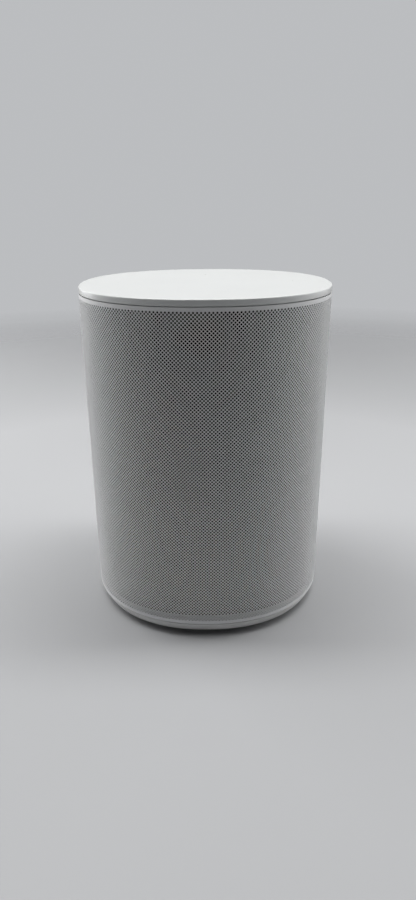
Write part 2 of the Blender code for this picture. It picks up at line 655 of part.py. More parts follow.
def main():
    """Clear the scene and build every piece."""
    for old in list(bpy.data.objects):
        bpy.data.objects.remove(old, do_unlink=True)

    white = finish("white_plastic", (0.80, 0.80, 0.79), 0.45)
    coat = finish("white_coated_steel", (0.78, 0.78, 0.77), 0.5)
    grey = finish("cabinet_plastic", (0.10, 0.10, 0.11), 0.6)
    black = finish("black_plastic", (0.02, 0.02, 0.02), 0.5)
    cloth = finish("black_cloth", (0.015, 0.015, 0.015), 0.95)
    rubber = finish("rubber", (0.03, 0.03, 0.03), 0.8)
    steel = finish("zinc_steel", (0.62, 0.62, 0.63), 0.35, 1.0)
    ferrite = finish("ferrite", (0.05, 0.05, 0.055), 0.7)
    paper = finish("cone_paper", (0.05, 0.05, 0.05), 0.85)
    silk = finish("dome_silk", (0.03, 0.03, 0.03), 0.7)
    copper = finish("copper_winding", (0.60, 0.30, 0.14), 0.4, 1.0)
    board = finish("circuit_board", (0.02, 0.11, 0.06), 0.55)
    aluminium = finish("aluminium", (0.75, 0.76, 0.77), 0.4, 1.0)
    amber = finish("light_pipe", (0.85, 0.85, 0.82), 0.25)

    build_top(white, black, amber)
    build_grille(coat, cloth)
    build_rear_panel(white)
    build_base(white, rubber, steel)
    front = build_cabinet(grey, rubber, steel)
    build_woofer(front, black, steel, ferrite, paper, rubber, copper)
    build_tweeter(front, black, steel, ferrite, silk)
    build_electronics(grey, board, steel, aluminium, black, copper)
    build_ports(board, black, white, steel)


if __name__ == "__main__":
    main()
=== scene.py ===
"""Looks of the compact smart speaker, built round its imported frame.

Each sub-assembly is a class: its sizes are dataclass fields, in metres, and its
methods model its pieces and dress them. Places come from the frame's own nodes.
The front faces -Y, and +Z is up.
"""
import logging
import math
from collections.abc import Callable, Iterator, Sequence
from contextlib import contextmanager
from dataclasses import dataclass, field
from enum import Enum

import bmesh
import bpy
import numpy as np
from bpy.types import Material, Object, ShaderNode
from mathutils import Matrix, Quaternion, Vector


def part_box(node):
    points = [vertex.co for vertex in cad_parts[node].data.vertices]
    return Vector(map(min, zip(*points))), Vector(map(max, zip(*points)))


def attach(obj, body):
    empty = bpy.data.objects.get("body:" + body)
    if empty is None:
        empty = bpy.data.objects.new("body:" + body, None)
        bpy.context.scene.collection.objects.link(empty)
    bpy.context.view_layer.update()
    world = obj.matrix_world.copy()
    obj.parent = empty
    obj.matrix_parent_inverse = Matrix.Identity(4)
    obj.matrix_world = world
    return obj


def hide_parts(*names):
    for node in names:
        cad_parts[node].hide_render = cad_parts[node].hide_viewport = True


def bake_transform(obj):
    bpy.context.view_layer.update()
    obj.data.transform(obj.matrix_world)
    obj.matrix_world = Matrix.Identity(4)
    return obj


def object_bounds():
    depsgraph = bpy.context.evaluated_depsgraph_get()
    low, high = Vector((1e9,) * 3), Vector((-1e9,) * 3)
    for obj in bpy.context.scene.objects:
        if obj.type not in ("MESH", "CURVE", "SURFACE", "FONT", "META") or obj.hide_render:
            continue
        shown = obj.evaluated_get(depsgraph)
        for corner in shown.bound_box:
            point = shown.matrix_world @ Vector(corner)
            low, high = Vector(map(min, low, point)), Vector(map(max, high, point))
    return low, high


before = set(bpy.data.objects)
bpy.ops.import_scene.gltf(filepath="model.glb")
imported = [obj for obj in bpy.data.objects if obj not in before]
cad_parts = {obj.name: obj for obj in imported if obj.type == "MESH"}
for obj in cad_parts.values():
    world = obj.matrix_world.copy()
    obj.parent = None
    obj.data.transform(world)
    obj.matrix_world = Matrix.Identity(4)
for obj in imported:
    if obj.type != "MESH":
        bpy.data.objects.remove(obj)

MM = 0.001
CAD_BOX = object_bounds()

log = logging.getLogger("speaker")

Point = tuple[float, float, float]
Profile = Sequence[tuple[float, float]]


class Body(Enum):
    """The frame's bodies that a piece can ride on."""

    FIXED = "body"
    WOOFER = "woofer_diaphragm"
    TWEETER = "tweeter_diaphragm"
    BUTTON = "pairing_button"
    SWITCH = "mic_switch"


class Axis(Enum):
    """The two axes that turned pieces are spun round."""

    Z = (0.0, 0.0, 1.0)
    Y = (0.0, 1.0, 0.0)


# ------------------------------------------------------------------ materials

class Graph:
    """A material's node tree, with short calls that add and join nodes."""

    def __init__(self, name: str) -> None:
        """Start a material with one Principled shader.

        Args:
            name: The material's name.
        """
        self.material: Material = bpy.data.materials.new(name)
        self.material.use_nodes = True
        self.nodes = self.material.node_tree.nodes
        self.shader: ShaderNode = self.nodes["Principled BSDF"]
        self.place = self.node("ShaderNodeTexCoord").outputs["Object"]

    def node(self, kind: str, **settings: object) -> ShaderNode:
        """Add a node.

        Args:
            kind: Blender's name of the node's type.
            settings: Properties and socket values; a socket's name is in lower case.

        Returns:
            The new node.
        """
        made = self.nodes.new(kind)
        for key, value in settings.items():
            if hasattr(made, key):
                setattr(made, key, value)
            else:
                made.inputs[key.replace("_", " ").title()].default_value = value
        return made

    def join(self, source: object, target: object) -> None:
        """Link an output socket to an input socket."""
        self.material.node_tree.links.new(source, target)

    def stretched(self, scale: Point) -> object:
        """Return the object coordinates multiplied by a scale.

        Args:
            scale: How many pattern units fit in a metre along X, Y and Z.
        """
        mapping = self.node("ShaderNodeMapping")
        mapping.inputs["Scale"].default_value = scale
        self.join(self.place, mapping.inputs["Vector"])
        return mapping.outputs["Vector"]

    def noise(self, size: float, detail: float = 2.0, where: object = None) -> object:
        """Add cloudy noise.

        Args:
            size: The width of its patches, in metres.
            detail: How many finer layers it has.
            where: A coordinate socket, or None for the object's own place.

        Returns:
            The socket of its value, from 0 to 1.
        """
        texture = self.node("ShaderNodeTexNoise", detail=detail)
        texture.inputs["Scale"].default_value = 1.0 / size
        self.join(where or self.place, texture.inputs["Vector"])
        return texture.outputs["Fac"]

    def span(self, value: object, low: float, high: float,
             start: float = 0.3, end: float = 0.7) -> object:
        """Rescale a socket's value.

        Args:
            value: The socket.
            low: The result at start.
            high: The result at end.
            start: The value that becomes low.
            end: The value that becomes high.

        Returns:
            The rescaled socket.
        """
        mapped = self.node("ShaderNodeMapRange", clamp=True)
        self.join(value, mapped.inputs["Value"])
        for key, number in (("From Min", start), ("From Max", end), ("To Min", low), ("To Max", high)):
            mapped.inputs[key].default_value = number
        return mapped.outputs["Result"]

    def mixed(self, share: object, first: Point, second: Point) -> object:
        """Mix two colours by a socket's value and return the colour socket."""
        mix = self.node("ShaderNodeMix", data_type="RGBA")
        self.join(share, mix.inputs["Factor"])
        for socket, colour in ((mix.inputs[6], first), (mix.inputs[7], second)):
            socket.default_value = (*colour, 1.0)
        return mix.outputs[2]

    def relief(self, height: object, depth: float) -> object:
        """Raise the surface by a socket's value.

        Args:
            height: The socket, from 0 to 1.
            depth: How high a value of 1 stands, in metres.

        Returns:
            The normal socket.
        """
        bump = self.node("ShaderNodeBump")
        bump.inputs["Strength"].default_value = 1.0
        bump.inputs["Distance"].default_value = depth
        self.join(height, bump.inputs["Height"])
        return bump.outputs["Normal"]


class Grain(Enum):
    """Surface textures that a finish can carry."""

    SPARK = "fine matt texture of a moulding"
    PEEL = "soft ripple of a powder coat"
    WEAVE = "threads of a cloth"
    BRUSH = "long scratches of rolled metal"
    FIBRE = "tangled fibres of paper"
    PORE = "open cells of foam"
    WINDING = "turns of fine wire"


@dataclass(frozen=True)
class Finish:
    """One material: its colours, gloss and texture.

    The colour drifts between tint and shade in patches, roughness drifts by
    its spread, and the grain raises the surface.
    """

    name: str
    tint: Point
    shade: Point
    roughness: float
    grain: Grain
    grain_size: float
    grain_depth: float
    spread: float = 0.05
    metallic: float = 0.0
    patch: float = 22 * MM
    sheen: float = 0.0
    coat: float = 0.0
    transmission: float = 0.0

    def grain_height(self, graph: Graph) -> object:
        """Add the grain's pattern to a graph and return its height socket."""
        unit = 1.0 / self.grain_size
        if self.grain in (Grain.SPARK, Grain.PEEL):
            return graph.noise(self.grain_size, detail=3.0 if self.grain is Grain.SPARK else 1.0)
        if self.grain is Grain.FIBRE:
            return graph.noise(1.0, 4.0, graph.stretched((unit, unit * 0.3, unit * 2.0)))
        if self.grain is Grain.BRUSH:
            return graph.noise(1.0, 2.0, graph.stretched((unit * 0.04, unit, unit)))
        if self.grain is Grain.PORE:
            cells = graph.node("ShaderNodeTexVoronoi")
            cells.inputs["Scale"].default_value = unit
            graph.join(graph.place, cells.inputs["Vector"])
            return cells.outputs["Distance"]
        return self.threads(graph, unit)

    def threads(self, graph: Graph, unit: float) -> object:
        """Add wound wire or two crossing sets of threads and return their height socket.

        Args:
            graph: The graph to add to.
            unit: Threads in a metre.
        """
        waves = []
        directions = ("Y",) if self.grain is Grain.WINDING else ("DIAGONAL", "Z")
        for direction in directions:
            wave = graph.node("ShaderNodeTexWave", bands_direction=direction)
            wave.inputs["Scale"].default_value = unit / math.tau
            wave.inputs["Distortion"].default_value = 0.4
            graph.join(graph.place, wave.inputs["Vector"])
            waves.append(wave.outputs["Fac"])
        if len(waves) == 1:
            return waves[0]
        crossing = graph.node("ShaderNodeMath", operation="MULTIPLY")
        for wave, socket in zip(waves, crossing.inputs):
            graph.join(wave, socket)
        return crossing.outputs["Value"]

    def material(self) -> Material:
        """Return this finish's material, made on first use."""
        known = bpy.data.materials.get(self.name)
        if known is not None:
            return known
        graph = Graph(self.name)
        inputs = graph.shader.inputs
        drift = graph.noise(self.patch, detail=3.0)
        graph.join(graph.mixed(graph.span(drift, 0.0, 1.0), self.tint, self.shade),
                   inputs["Base Color"])
        height = self.grain_height(graph)
        graph.join(graph.span(height, self.roughness - self.spread, self.roughness + self.spread),
                   inputs["Roughness"])
        graph.join(graph.relief(height, self.grain_depth), inputs["Normal"])
        inputs["Metallic"].default_value = self.metallic
        inputs["Sheen Weight"].default_value = self.sheen
        inputs["Coat Weight"].default_value = self.coat
        inputs["Transmission Weight"].default_value = self.transmission
        return graph.material


@dataclass(frozen=True)
class BoardFinish:
    """A circuit board: solder mask over copper tracks, with tinned pads."""

    name: str = "solder_mask"
    mask: Point = (0.012, 0.085, 0.045)
    track: Point = (0.025, 0.150, 0.075)
    pad: Point = (0.72, 0.68, 0.55)
    track_pitch: float = 2.4 * MM
    pad_pitch: float = 3.1 * MM

    def material(self) -> Material:
        """Return the board's material, made on first use."""
        known = bpy.data.materials.get(self.name)
        if known is not None:
            return known
        graph = Graph(self.name)
        tracks = graph.node("ShaderNodeTexVoronoi", distance="MANHATTAN", feature="F1")
        tracks.inputs["Scale"].default_value = 1.0 / self.track_pitch
        graph.join(graph.place, tracks.inputs["Vector"])
        ripple = graph.node("ShaderNodeMath", operation="PINGPONG")
        graph.join(tracks.outputs["Distance"], ripple.inputs[0])
        ripple.inputs[1].default_value = 0.22
        lines = graph.span(ripple.outputs["Value"], 0.0, 1.0, 0.10, 0.13)
        dots = graph.node("ShaderNodeTexVoronoi")
        dots.inputs["Scale"].default_value = 1.0 / self.pad_pitch
        dots.inputs["Randomness"].default_value = 0.6
        graph.join(graph.place, dots.inputs["Vector"])
        pads = graph.span(dots.outputs["Distance"], 1.0, 0.0, 0.13, 0.16)
        base = graph.mixed(lines, self.mask, self.track)
        plated = graph.node("ShaderNodeMix", data_type="RGBA")
        graph.join(pads, plated.inputs["Factor"])
        graph.join(base, plated.inputs[6])
        plated.inputs[7].default_value = (*self.pad, 1.0)
        inputs = graph.shader.inputs
        graph.join(plated.outputs[2], inputs["Base Color"])
        graph.join(pads, inputs["Metallic"])
        graph.join(graph.span(pads, 0.45, 0.30, 0.0, 1.0), inputs["Roughness"])
        graph.join(graph.relief(lines, 0.04 * MM), inputs["Normal"])
        return graph.material


WHITE_TOP = Finish("touch_cover_plastic", (0.80, 0.815, 0.81), (0.785, 0.80, 0.795), 0.34,
                   Grain.SPARK, 0.35 * MM, 0.006 * MM)
WHITE_SHELL = Finish("shell_plastic", (0.79, 0.80, 0.80), (0.77, 0.78, 0.78), 0.46,
                     Grain.SPARK, 0.30 * MM, 0.012 * MM)
WHITE_COAT = Finish("powder_coat", (0.92, 0.925, 0.93), (0.90, 0.905, 0.91), 0.50,
                    Grain.PEEL, 0.50 * MM, 0.010 * MM)
BUTTON_PLASTIC = Finish("button_plastic", (0.74, 0.75, 0.75), (0.71, 0.72, 0.72), 0.42,
                        Grain.SPARK, 0.25 * MM, 0.010 * MM)
BLACK_PLASTIC = Finish("black_plastic", (0.022, 0.022, 0.024), (0.015, 0.015, 0.017), 0.48,
                       Grain.SPARK, 0.30 * MM, 0.015 * MM)
FRAME_PLASTIC = Finish("frame_plastic", (0.085, 0.087, 0.092), (0.065, 0.067, 0.072), 0.55,
                       Grain.SPARK, 0.45 * MM, 0.020 * MM)
FOOT_RUBBER = Finish("foot_rubber", (0.045, 0.045, 0.047), (0.030, 0.030, 0.032), 0.78,
                     Grain.SPARK, 0.50 * MM, 0.030 * MM)
ROLL_RUBBER = Finish("surround_rubber", (0.024, 0.024, 0.025), (0.017, 0.017, 0.018), 0.55,
                     Grain.SPARK, 0.60 * MM, 0.010 * MM)
LINER_CLOTH = Finish("liner_cloth", (0.022, 0.022, 0.023), (0.013, 0.013, 0.014), 0.92,
                     Grain.WEAVE, 0.45 * MM, 0.08 * MM, sheen=0.15)
SPIDER_CLOTH = Finish("spider_cloth", (0.46, 0.30, 0.12), (0.36, 0.22, 0.08), 0.85,
                      Grain.WEAVE, 0.60 * MM, 0.08 * MM, sheen=0.1)
DOME_SILK = Finish("dome_silk", (0.040, 0.040, 0.045), (0.028, 0.028, 0.032), 0.60,
                   Grain.WEAVE, 0.25 * MM, 0.02 * MM, sheen=0.3)
CONE_PAPER = Finish("cone_paper", (0.050, 0.049, 0.047), (0.032, 0.031, 0.030), 0.88,
                    Grain.FIBRE, 0.80 * MM, 0.05 * MM)
SEAL_FOAM = Finish("seal_foam", (0.050, 0.050, 0.052), (0.030, 0.030, 0.032), 0.95,
                   Grain.PORE, 0.70 * MM, 0.15 * MM)
ZINC = Finish("zinc_steel", (0.62, 0.63, 0.65), (0.52, 0.53, 0.54), 0.34,
              Grain.BRUSH, 0.25 * MM, 0.004 * MM, metallic=1.0)
BLACK_STEEL = Finish("black_oxide_steel", (0.060, 0.060, 0.065), (0.035, 0.035, 0.040), 0.42,
                     Grain.SPARK, 0.30 * MM, 0.006 * MM, metallic=1.0)
ALUMINIUM = Finish("aluminium", (0.78, 0.79, 0.80), (0.66, 0.67, 0.68), 0.38,
                   Grain.BRUSH, 0.35 * MM, 0.008 * MM, metallic=1.0)
FERRITE = Finish("ferrite", (0.070, 0.070, 0.075), (0.040, 0.040, 0.044), 0.70,
                 Grain.SPARK, 0.80 * MM, 0.040 * MM)
COPPER = Finish("copper_winding", (0.74, 0.34, 0.15), (0.52, 0.20, 0.08), 0.36,
                Grain.WINDING, 0.30 * MM, 0.060 * MM, metallic=1.0)
AMBER_FILM = Finish("ribbon_film", (0.62, 0.30, 0.07), (0.48, 0.20, 0.04), 0.38,
                    Grain.BRUSH, 0.50 * MM, 0.010 * MM, coat=0.3)
FOIL = Finish("antenna_foil", (0.76, 0.50, 0.28), (0.62, 0.38, 0.18), 0.32,
              Grain.BRUSH, 0.60 * MM, 0.010 * MM, metallic=1.0)
LIGHT_PIPE = Finish("light_pipe", (0.88, 0.87, 0.84), (0.82, 0.81, 0.78), 0.22,
                    Grain.SPARK, 0.60 * MM, 0.004 * MM, transmission=0.35)
BOARD = BoardFinish()


# -------------------------------------------------------------- modelling bench

def deselect() -> None:
    """Leave edit mode and deselect every object."""
    active = bpy.context.view_layer.objects.active
    if active is not None and active.mode != "OBJECT":
        bpy.ops.object.mode_set(mode="OBJECT")
    bpy.ops.object.select_all(action="DESELECT")


def take(*pieces: Object) -> Object:
    """Select pieces alone and make the first one active.

    Args:
        pieces: The pieces to select.

    Returns:
        The first piece.
    """
    deselect()
    for piece in pieces:
        piece.select_set(True)
    bpy.context.view_layer.objects.active = pieces[0]
    return pieces[0]


@contextmanager
def editing(piece: Object) -> Iterator[None]:
    """Work on a piece in edit mode, by its vertices."""
    take(piece)
    bpy.ops.object.mode_set(mode="EDIT")
    bpy.ops.mesh.select_mode(type="VERT")
    yield
    bpy.ops.object.mode_set(mode="OBJECT")


def pick(piece: Object, wanted: Callable[[Vector], bool]) -> None:
    """Select a piece's vertices by their place; edges and faces follow.

    Args:
        piece: The piece being edited.
        wanted: Says whether a vertex at a place is selected.
    """
    mesh = bmesh.from_edit_mesh(piece.data)
    for vertex in mesh.verts:
        vertex.select_set(wanted(vertex.co))
    mesh.select_flush_mode()
    bmesh.update_edit_mesh(piece.data)


def closed_up(piece: Object, merge: float = 1e-6) -> None:
    """Merge doubled points and point all faces outwards.

    Args:
        piece: The piece.
        merge: Points closer than this become one, in metres.
    """
    with editing(piece):
        bpy.ops.mesh.select_all(action="SELECT")
        bpy.ops.mesh.remove_doubles(threshold=merge)
        bpy.ops.mesh.normals_make_consistent(inside=False)


def smoothed(piece: Object, angle: float = 35.0) -> Object:
    """Shade a piece smooth, with creases above an angle in degrees, and return it."""
    take(piece)
    bpy.ops.object.shade_smooth_by_angle(angle=math.radians(angle))
    return piece


def applied(piece: Object, kind: str, **settings: object) -> Object:
    """Add a modifier and apply it.

    Args:
        piece: The piece.
        kind: Blender's name of the modifier's type.
        settings: The modifier's properties.

    Returns:
        The piece.
    """
    take(piece)
    modifier = piece.modifiers.new(kind.title(), kind)
    for key, value in settings.items():
        setattr(modifier, key, value)
    bpy.ops.object.modifier_apply(modifier=modifier.name)
    return piece


def softened(piece: Object, width: float, segments: int = 3) -> Object:
    """Round a piece's edges that turn by more than 40 degrees and return it."""
    return applied(piece, "BEVEL", width=width, segments=segments, limit_method="ANGLE",
                   angle_limit=math.radians(40))


def carved(piece: Object, *cutters: Object) -> Object:
    """Cut pieces away from a piece and remove them.

    Args:
        piece: The piece to cut.
        cutters: Closed pieces that are used up.

    Returns:
        The cut piece.
    """
    for cutter in cutters:
        applied(piece, "BOOLEAN", operation="DIFFERENCE", solver="EXACT", object=cutter)
        bpy.data.objects.remove(cutter, do_unlink=True)
    return piece


def joined(name: str, *pieces: Object) -> Object:
    """Join pieces into one mesh and return it under a name."""
    take(*pieces)
    bpy.ops.object.join()
    whole = bpy.context.view_layer.objects.active
    whole.name = name
    return whole


def grown(piece: Object, *others: Object) -> Object:
    """Unite pieces with a piece, remove them and return it."""
    for other in others:
        applied(piece, "BOOLEAN", operation="UNION", solver="EXACT", object=other)
        bpy.data.objects.remove(other, do_unlink=True)
    return piece


def copied(piece: Object, name: str) -> Object:
    """Return a copy of a piece with its own mesh."""
    twin = piece.copy()
    twin.data = piece.data.copy()
    twin.name = name
    bpy.context.collection.objects.link(twin)
    return twin


def shifted(piece: Object, by: Point) -> Object:
    """Move a piece's mesh, not its object, and return it."""
    with editing(piece):
        bpy.ops.mesh.select_all(action="SELECT")
        bpy.ops.transform.translate(value=by)
    return piece


def turned(name: str, profile: Profile, steps: int = 96, axis: Axis = Axis.Z,
           centre: Point = (0.0, 0.0, 0.0), rounding: float = 0.0) -> Object:
    """Spin an outline round an axis into a closed piece.

    Args:
        name: The piece's name.
        profile: Points of (radius, height along the axis). A profile that starts
            on the axis ends on it; any other is closed into a ring.
        steps: How many steps the full turn has.
        axis: The axis of the turn.
        centre: A point on the axis, from which heights are measured.
        rounding: The radius at the profile's corners.

    Returns:
        The piece, smooth shaded.
    """
    along = Vector(axis.value)
    points = [Vector((radius, 0.0, 0.0)) + along * height for radius, height in profile]
    deselect()
    bpy.ops.mesh.primitive_plane_add(size=MM)
    piece = bpy.context.object
    piece.name = name
    with editing(piece):
        bpy.ops.mesh.select_all(action="SELECT")
        bpy.ops.mesh.merge(type="CENTER")
        bpy.ops.transform.translate(value=points[0])
        for start, end in zip(points, points[1:]):
            bpy.ops.mesh.extrude_region_move(TRANSFORM_OT_translate={"value": end - start})
        if profile[0][0] > 0.0:
            bpy.ops.mesh.select_all(action="SELECT")
            ends = [points[0], points[-1]]
            pick(piece, lambda place: min((place - end).length for end in ends) < 1e-7)
            bpy.ops.mesh.edge_face_add()
        if rounding > 0.0:
            pick(piece, lambda place: place.x > 1e-7)
            bpy.ops.mesh.bevel(offset=rounding, segments=3, affect="VERTICES", clamp_overlap=True)
        bpy.ops.mesh.select_all(action="SELECT")
        bpy.ops.mesh.spin(steps=steps, angle=math.tau, center=(0.0, 0.0, 0.0), axis=axis.value)
        bpy.ops.mesh.select_all(action="SELECT")
        bpy.ops.transform.translate(value=centre)
    closed_up(piece)
    return smoothed(piece)


def block(name: str, low: Sequence[float], high: Sequence[float], rounding: float = 0.0,
          segments: int = 3) -> Object:
    """Build a block between two corners, with rounded edges.

    Args:
        name: The piece's name.
        low: Its lowest corner.
        high: Its highest corner.
        rounding: The radius of its edges.
        segments: Steps across each rounded edge.

    Returns:
        The piece, smooth shaded.
    """
    deselect()
    size = Vector(high) - Vector(low)
    bpy.ops.mesh.primitive_cube_add(size=1.0)
    piece = bpy.context.object
    piece.name = name
    with editing(piece):
        bpy.ops.transform.resize(value=size)
        bpy.ops.transform.translate(value=(Vector(low) + Vector(high)) / 2)
        if rounding > 0.0:
            bpy.ops.mesh.bevel(offset=rounding, segments=segments, affect="EDGES")
    return smoothed(piece)


def pill(name: str, low: Sequence[float], high: Sequence[float], rounding: float,
         steps: int = 8) -> Object:
    """Build a block whose four edges along Y are rounded.

    Args:
        name: The piece's name.
        low: Its lowest corner.
        high: Its highest corner.
        rounding: The radius of the four edges.
        steps: Steps across each rounded edge.

    Returns:
        The piece, smooth shaded.
    """
    piece = block(name, low, high)
    with editing(piece):
        bpy.ops.mesh.select_mode(type="EDGE")
        bpy.ops.mesh.select_all(action="DESELECT")
        mesh = bmesh.from_edit_mesh(piece.data)
        for edge in mesh.edges:
            first, second = (vertex.co for vertex in edge.verts)
            edge.select_set(abs(first.y - second.y) > 1e-7)
        bmesh.update_edit_mesh(piece.data)
        bpy.ops.mesh.bevel(offset=rounding, segments=steps, affect="EDGES")
    return smoothed(piece)


def bar(name: str, start: Point, length: float, radius: float, axis: Axis, steps: int = 24) -> Object:
    """Build a round bar, mostly as a cutter.

    Args:
        name: The piece's name.
        start: The middle of its first end.
        length: How far it reaches along the axis.
        radius: Its radius.
        axis: The axis that it follows.
        steps: Its number of sides.

    Returns:
        The piece.
    """
    profile = [(0.0, 0.0), (radius, 0.0), (radius, length), (0.0, length)]
    return turned(name, profile, steps, axis, start)


# ------------------------------------------------------------------- footprint

@dataclass(frozen=True)
class Footprint:
    """The speaker's outline from above: a soft square with bulging sides."""

    half: float
    squareness: float = 2.2
    samples: int = 8192

    def outline(self) -> tuple[np.ndarray, np.ndarray, np.ndarray]:
        """Return distance along the outline, X and Y, from back to front to back."""
        angle = np.linspace(-np.pi, np.pi, self.samples + 1)
        power = 2.0 / self.squareness
        x = self.half * np.sign(np.sin(angle)) * np.abs(np.sin(angle)) ** power
        y = -self.half * np.sign(np.cos(angle)) * np.abs(np.cos(angle)) ** power
        steps = np.hypot(np.diff(x), np.diff(y))
        travel = np.concatenate(([0.0], np.cumsum(steps)))
        return travel - travel[-1] / 2, x, y

    def length(self) -> float:
        """Return the length of the whole outline."""
        return float(self.outline()[0][-1] * 2)

    def reach(self, half_width: float) -> float:
        """Return the distance from the front's middle to where the back is this wide."""
        travel, x, y = self.outline()
        back = (travel > 0) & (y > 0)
        return float(np.interp(-half_width, -x[back], travel[back]))

    def bend(self, piece: Object, start: float = 0.0) -> None:
        """Wrap a flat piece round the outline.

        The piece's X becomes distance along the outline, and its Y depth inwards.

        Args:
            piece: The flat piece.
            start: The distance from the front's middle where its X is zero.
        """
        count = len(piece.data.vertices)
        flat = np.empty(count * 3)
        piece.data.vertices.foreach_get("co", flat)
        flat = flat.reshape(-1, 3)
        travel, x, y = self.outline()
        total = travel[-1] * 2
        where = (flat[:, 0] + start + total / 2) % total - total / 2
        edge_x, edge_y = np.interp(where, travel, x), np.interp(where, travel, y)
        power = self.squareness - 1.0
        out_x = np.sign(edge_x) * np.abs(edge_x) ** power
        out_y = np.sign(edge_y) * np.abs(edge_y) ** power
        size = np.hypot(out_x, out_y)
        bent = np.stack((edge_x - flat[:, 1] * out_x / size,
                         edge_y - flat[:, 1] * out_y / size, flat[:, 2]), axis=1)
        piece.data.vertices.foreach_set("co", bent.ravel())
        piece.data.update()

    def squared(self, piece: Object) -> Object:
        """Push a piece that was turned round Z out to the soft square and return it."""
        count = len(piece.data.vertices)
        round_place = np.empty(count * 3)
        piece.data.vertices.foreach_get("co", round_place)
        round_place = round_place.reshape(-1, 3)
        radius = np.hypot(round_place[:, 0], round_place[:, 1])
        safe = np.maximum(radius, 1e-9)
        power = 2.0 / self.squareness
        for side in (0, 1):
            share = round_place[:, side] / safe
            round_place[:, side] = radius * np.sign(share) * np.abs(share) ** power
        piece.data.vertices.foreach_set("co", round_place.ravel())
        piece.data.update()
        return smoothed(piece)


def middle(node: str) -> Vector:
    """Return the middle of a node's box."""
    low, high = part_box(node)
    return (low + high) / 2


# ------------------------------------------------------------------ assemblies

@dataclass
class Assembly:
    """What every sub-assembly shares: a way to place its pieces in the frame."""

    footprint: Footprint

    def place(self, piece: Object, finish: Finish | BoardFinish, slot: str, *nodes: str,
              body: Body | None = Body.FIXED) -> Object:
        """Dress a finished piece, let it ride on a body and stand for its nodes.

        Args:
            piece: The piece, in its place.
            finish: Its finish.
            slot: Not used.
            nodes: The nodes that it replaces.
            body: The body that it rides on; none for a piece that spans two bodies and is left unattached.

        Returns:
            The piece.
        """
        piece.data.materials.clear()
        piece.data.materials.append(finish.material())
        if body is not None:
            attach(piece, body.value)
        if nodes:
            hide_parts(*nodes)
        log.info("%s: %d faces, %s", piece.name, len(piece.data.polygons), finish.name)
        return piece

    def soft_square(self, name: str, profile: Profile, rounding: float = 0.0,
                    steps: int = 256) -> Object:
        """Build rings of (half width, height) that follow the footprint."""
        piece = turned(name, profile, steps, Axis.Z, rounding=rounding)
        return self.footprint.squared(piece)

    def sheet(self, name: str, ends: tuple[float, float], depth: tuple[float, float],
              heights: tuple[float, float], steps: int = 192) -> Object:
        """Build a plain wall that follows the footprint.

        Args:
            name: The piece's name.
            ends: Distances along the outline where it starts and ends.
            depth: How far in its outer and inner faces lie.
            heights: Its lowest and highest Z.
            steps: Steps along the outline.

        Returns:
            The wall, bent to the outline.
        """
        deselect()
        bpy.ops.mesh.primitive_grid_add(x_subdivisions=steps, y_subdivisions=1, size=1.0)
        wall = bpy.context.object
        wall.name = name
        with editing(wall):
            bpy.ops.transform.resize(value=(ends[1] - ends[0], heights[1] - heights[0], 1.0))
            bpy.ops.transform.rotate(value=math.pi / 2, orient_axis="X",
                                     center_override=(0.0, 0.0, 0.0))
            bpy.ops.transform.translate(value=(sum(ends) / 2, depth[0], sum(heights) / 2))
            bpy.ops.mesh.extrude_region_move(
                TRANSFORM_OT_translate={"value": (0.0, depth[1] - depth[0], 0.0)})
        closed_up(wall)
        self.footprint.bend(wall)
        return smoothed(wall)


@dataclass
class TopCover(Assembly):
    """Touch cover, drilled for the microphones and the status light pipe."""

    rim: float = 0.5 * MM
    mic_ring: float = 42.0 * MM
    mic_hole: float = 0.35 * MM
    mic_count: int = 6
    wall: float = 2.3 * MM
    skirt: float = 57.4 * MM
    skirt_wall: float = 1.5 * MM
    status_hole: float = 0.8 * MM
    seam: float = 0.35 * MM
    chamfer: float = 0.2 * MM
    drill_depth: float = 5 * MM

    def build(self) -> None:
        """Model and dress the top's pieces."""
        low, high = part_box("top_cover")
        top, half = high.z, high.x
        grille_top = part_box("grille")[1].z
        ledge = grille_top + self.seam
        inner = self.skirt - self.skirt_wall
        rim = self.rim
        arc = [(half - rim + rim * math.sin(turn), top - rim + rim * math.cos(turn))
               for turn in np.linspace(0.0, math.pi / 2, 7)]
        cover = self.soft_square("touch_cover", [
            (0.0, top), (half * 0.5, top), (half * 0.9, top), *arc, (half, ledge + self.chamfer),
            (half - self.chamfer, ledge), (self.skirt, ledge), (self.skirt, low.z),
            (inner, low.z), (inner, top - self.wall), (0.0, top - self.wall)])
        status = middle("status_light_pipe")
        drill_start = top - self.drill_depth
        drills = [bar("drill", (0.0, status.y, drill_start), 2 * self.drill_depth, self.status_hole, Axis.Z)]
        for step in range(self.mic_count):
            angle = math.tau * step / self.mic_count
            place = (self.mic_ring * math.cos(angle), self.mic_ring * math.sin(angle), drill_start)
            drills.append(bar("drill", place, 2 * self.drill_depth, self.mic_hole, Axis.Z, steps=20))
        carved(cover, joined("drills", *drills))
        self.place(smoothed(cover), WHITE_TOP, "touch_cover", "top_cover")


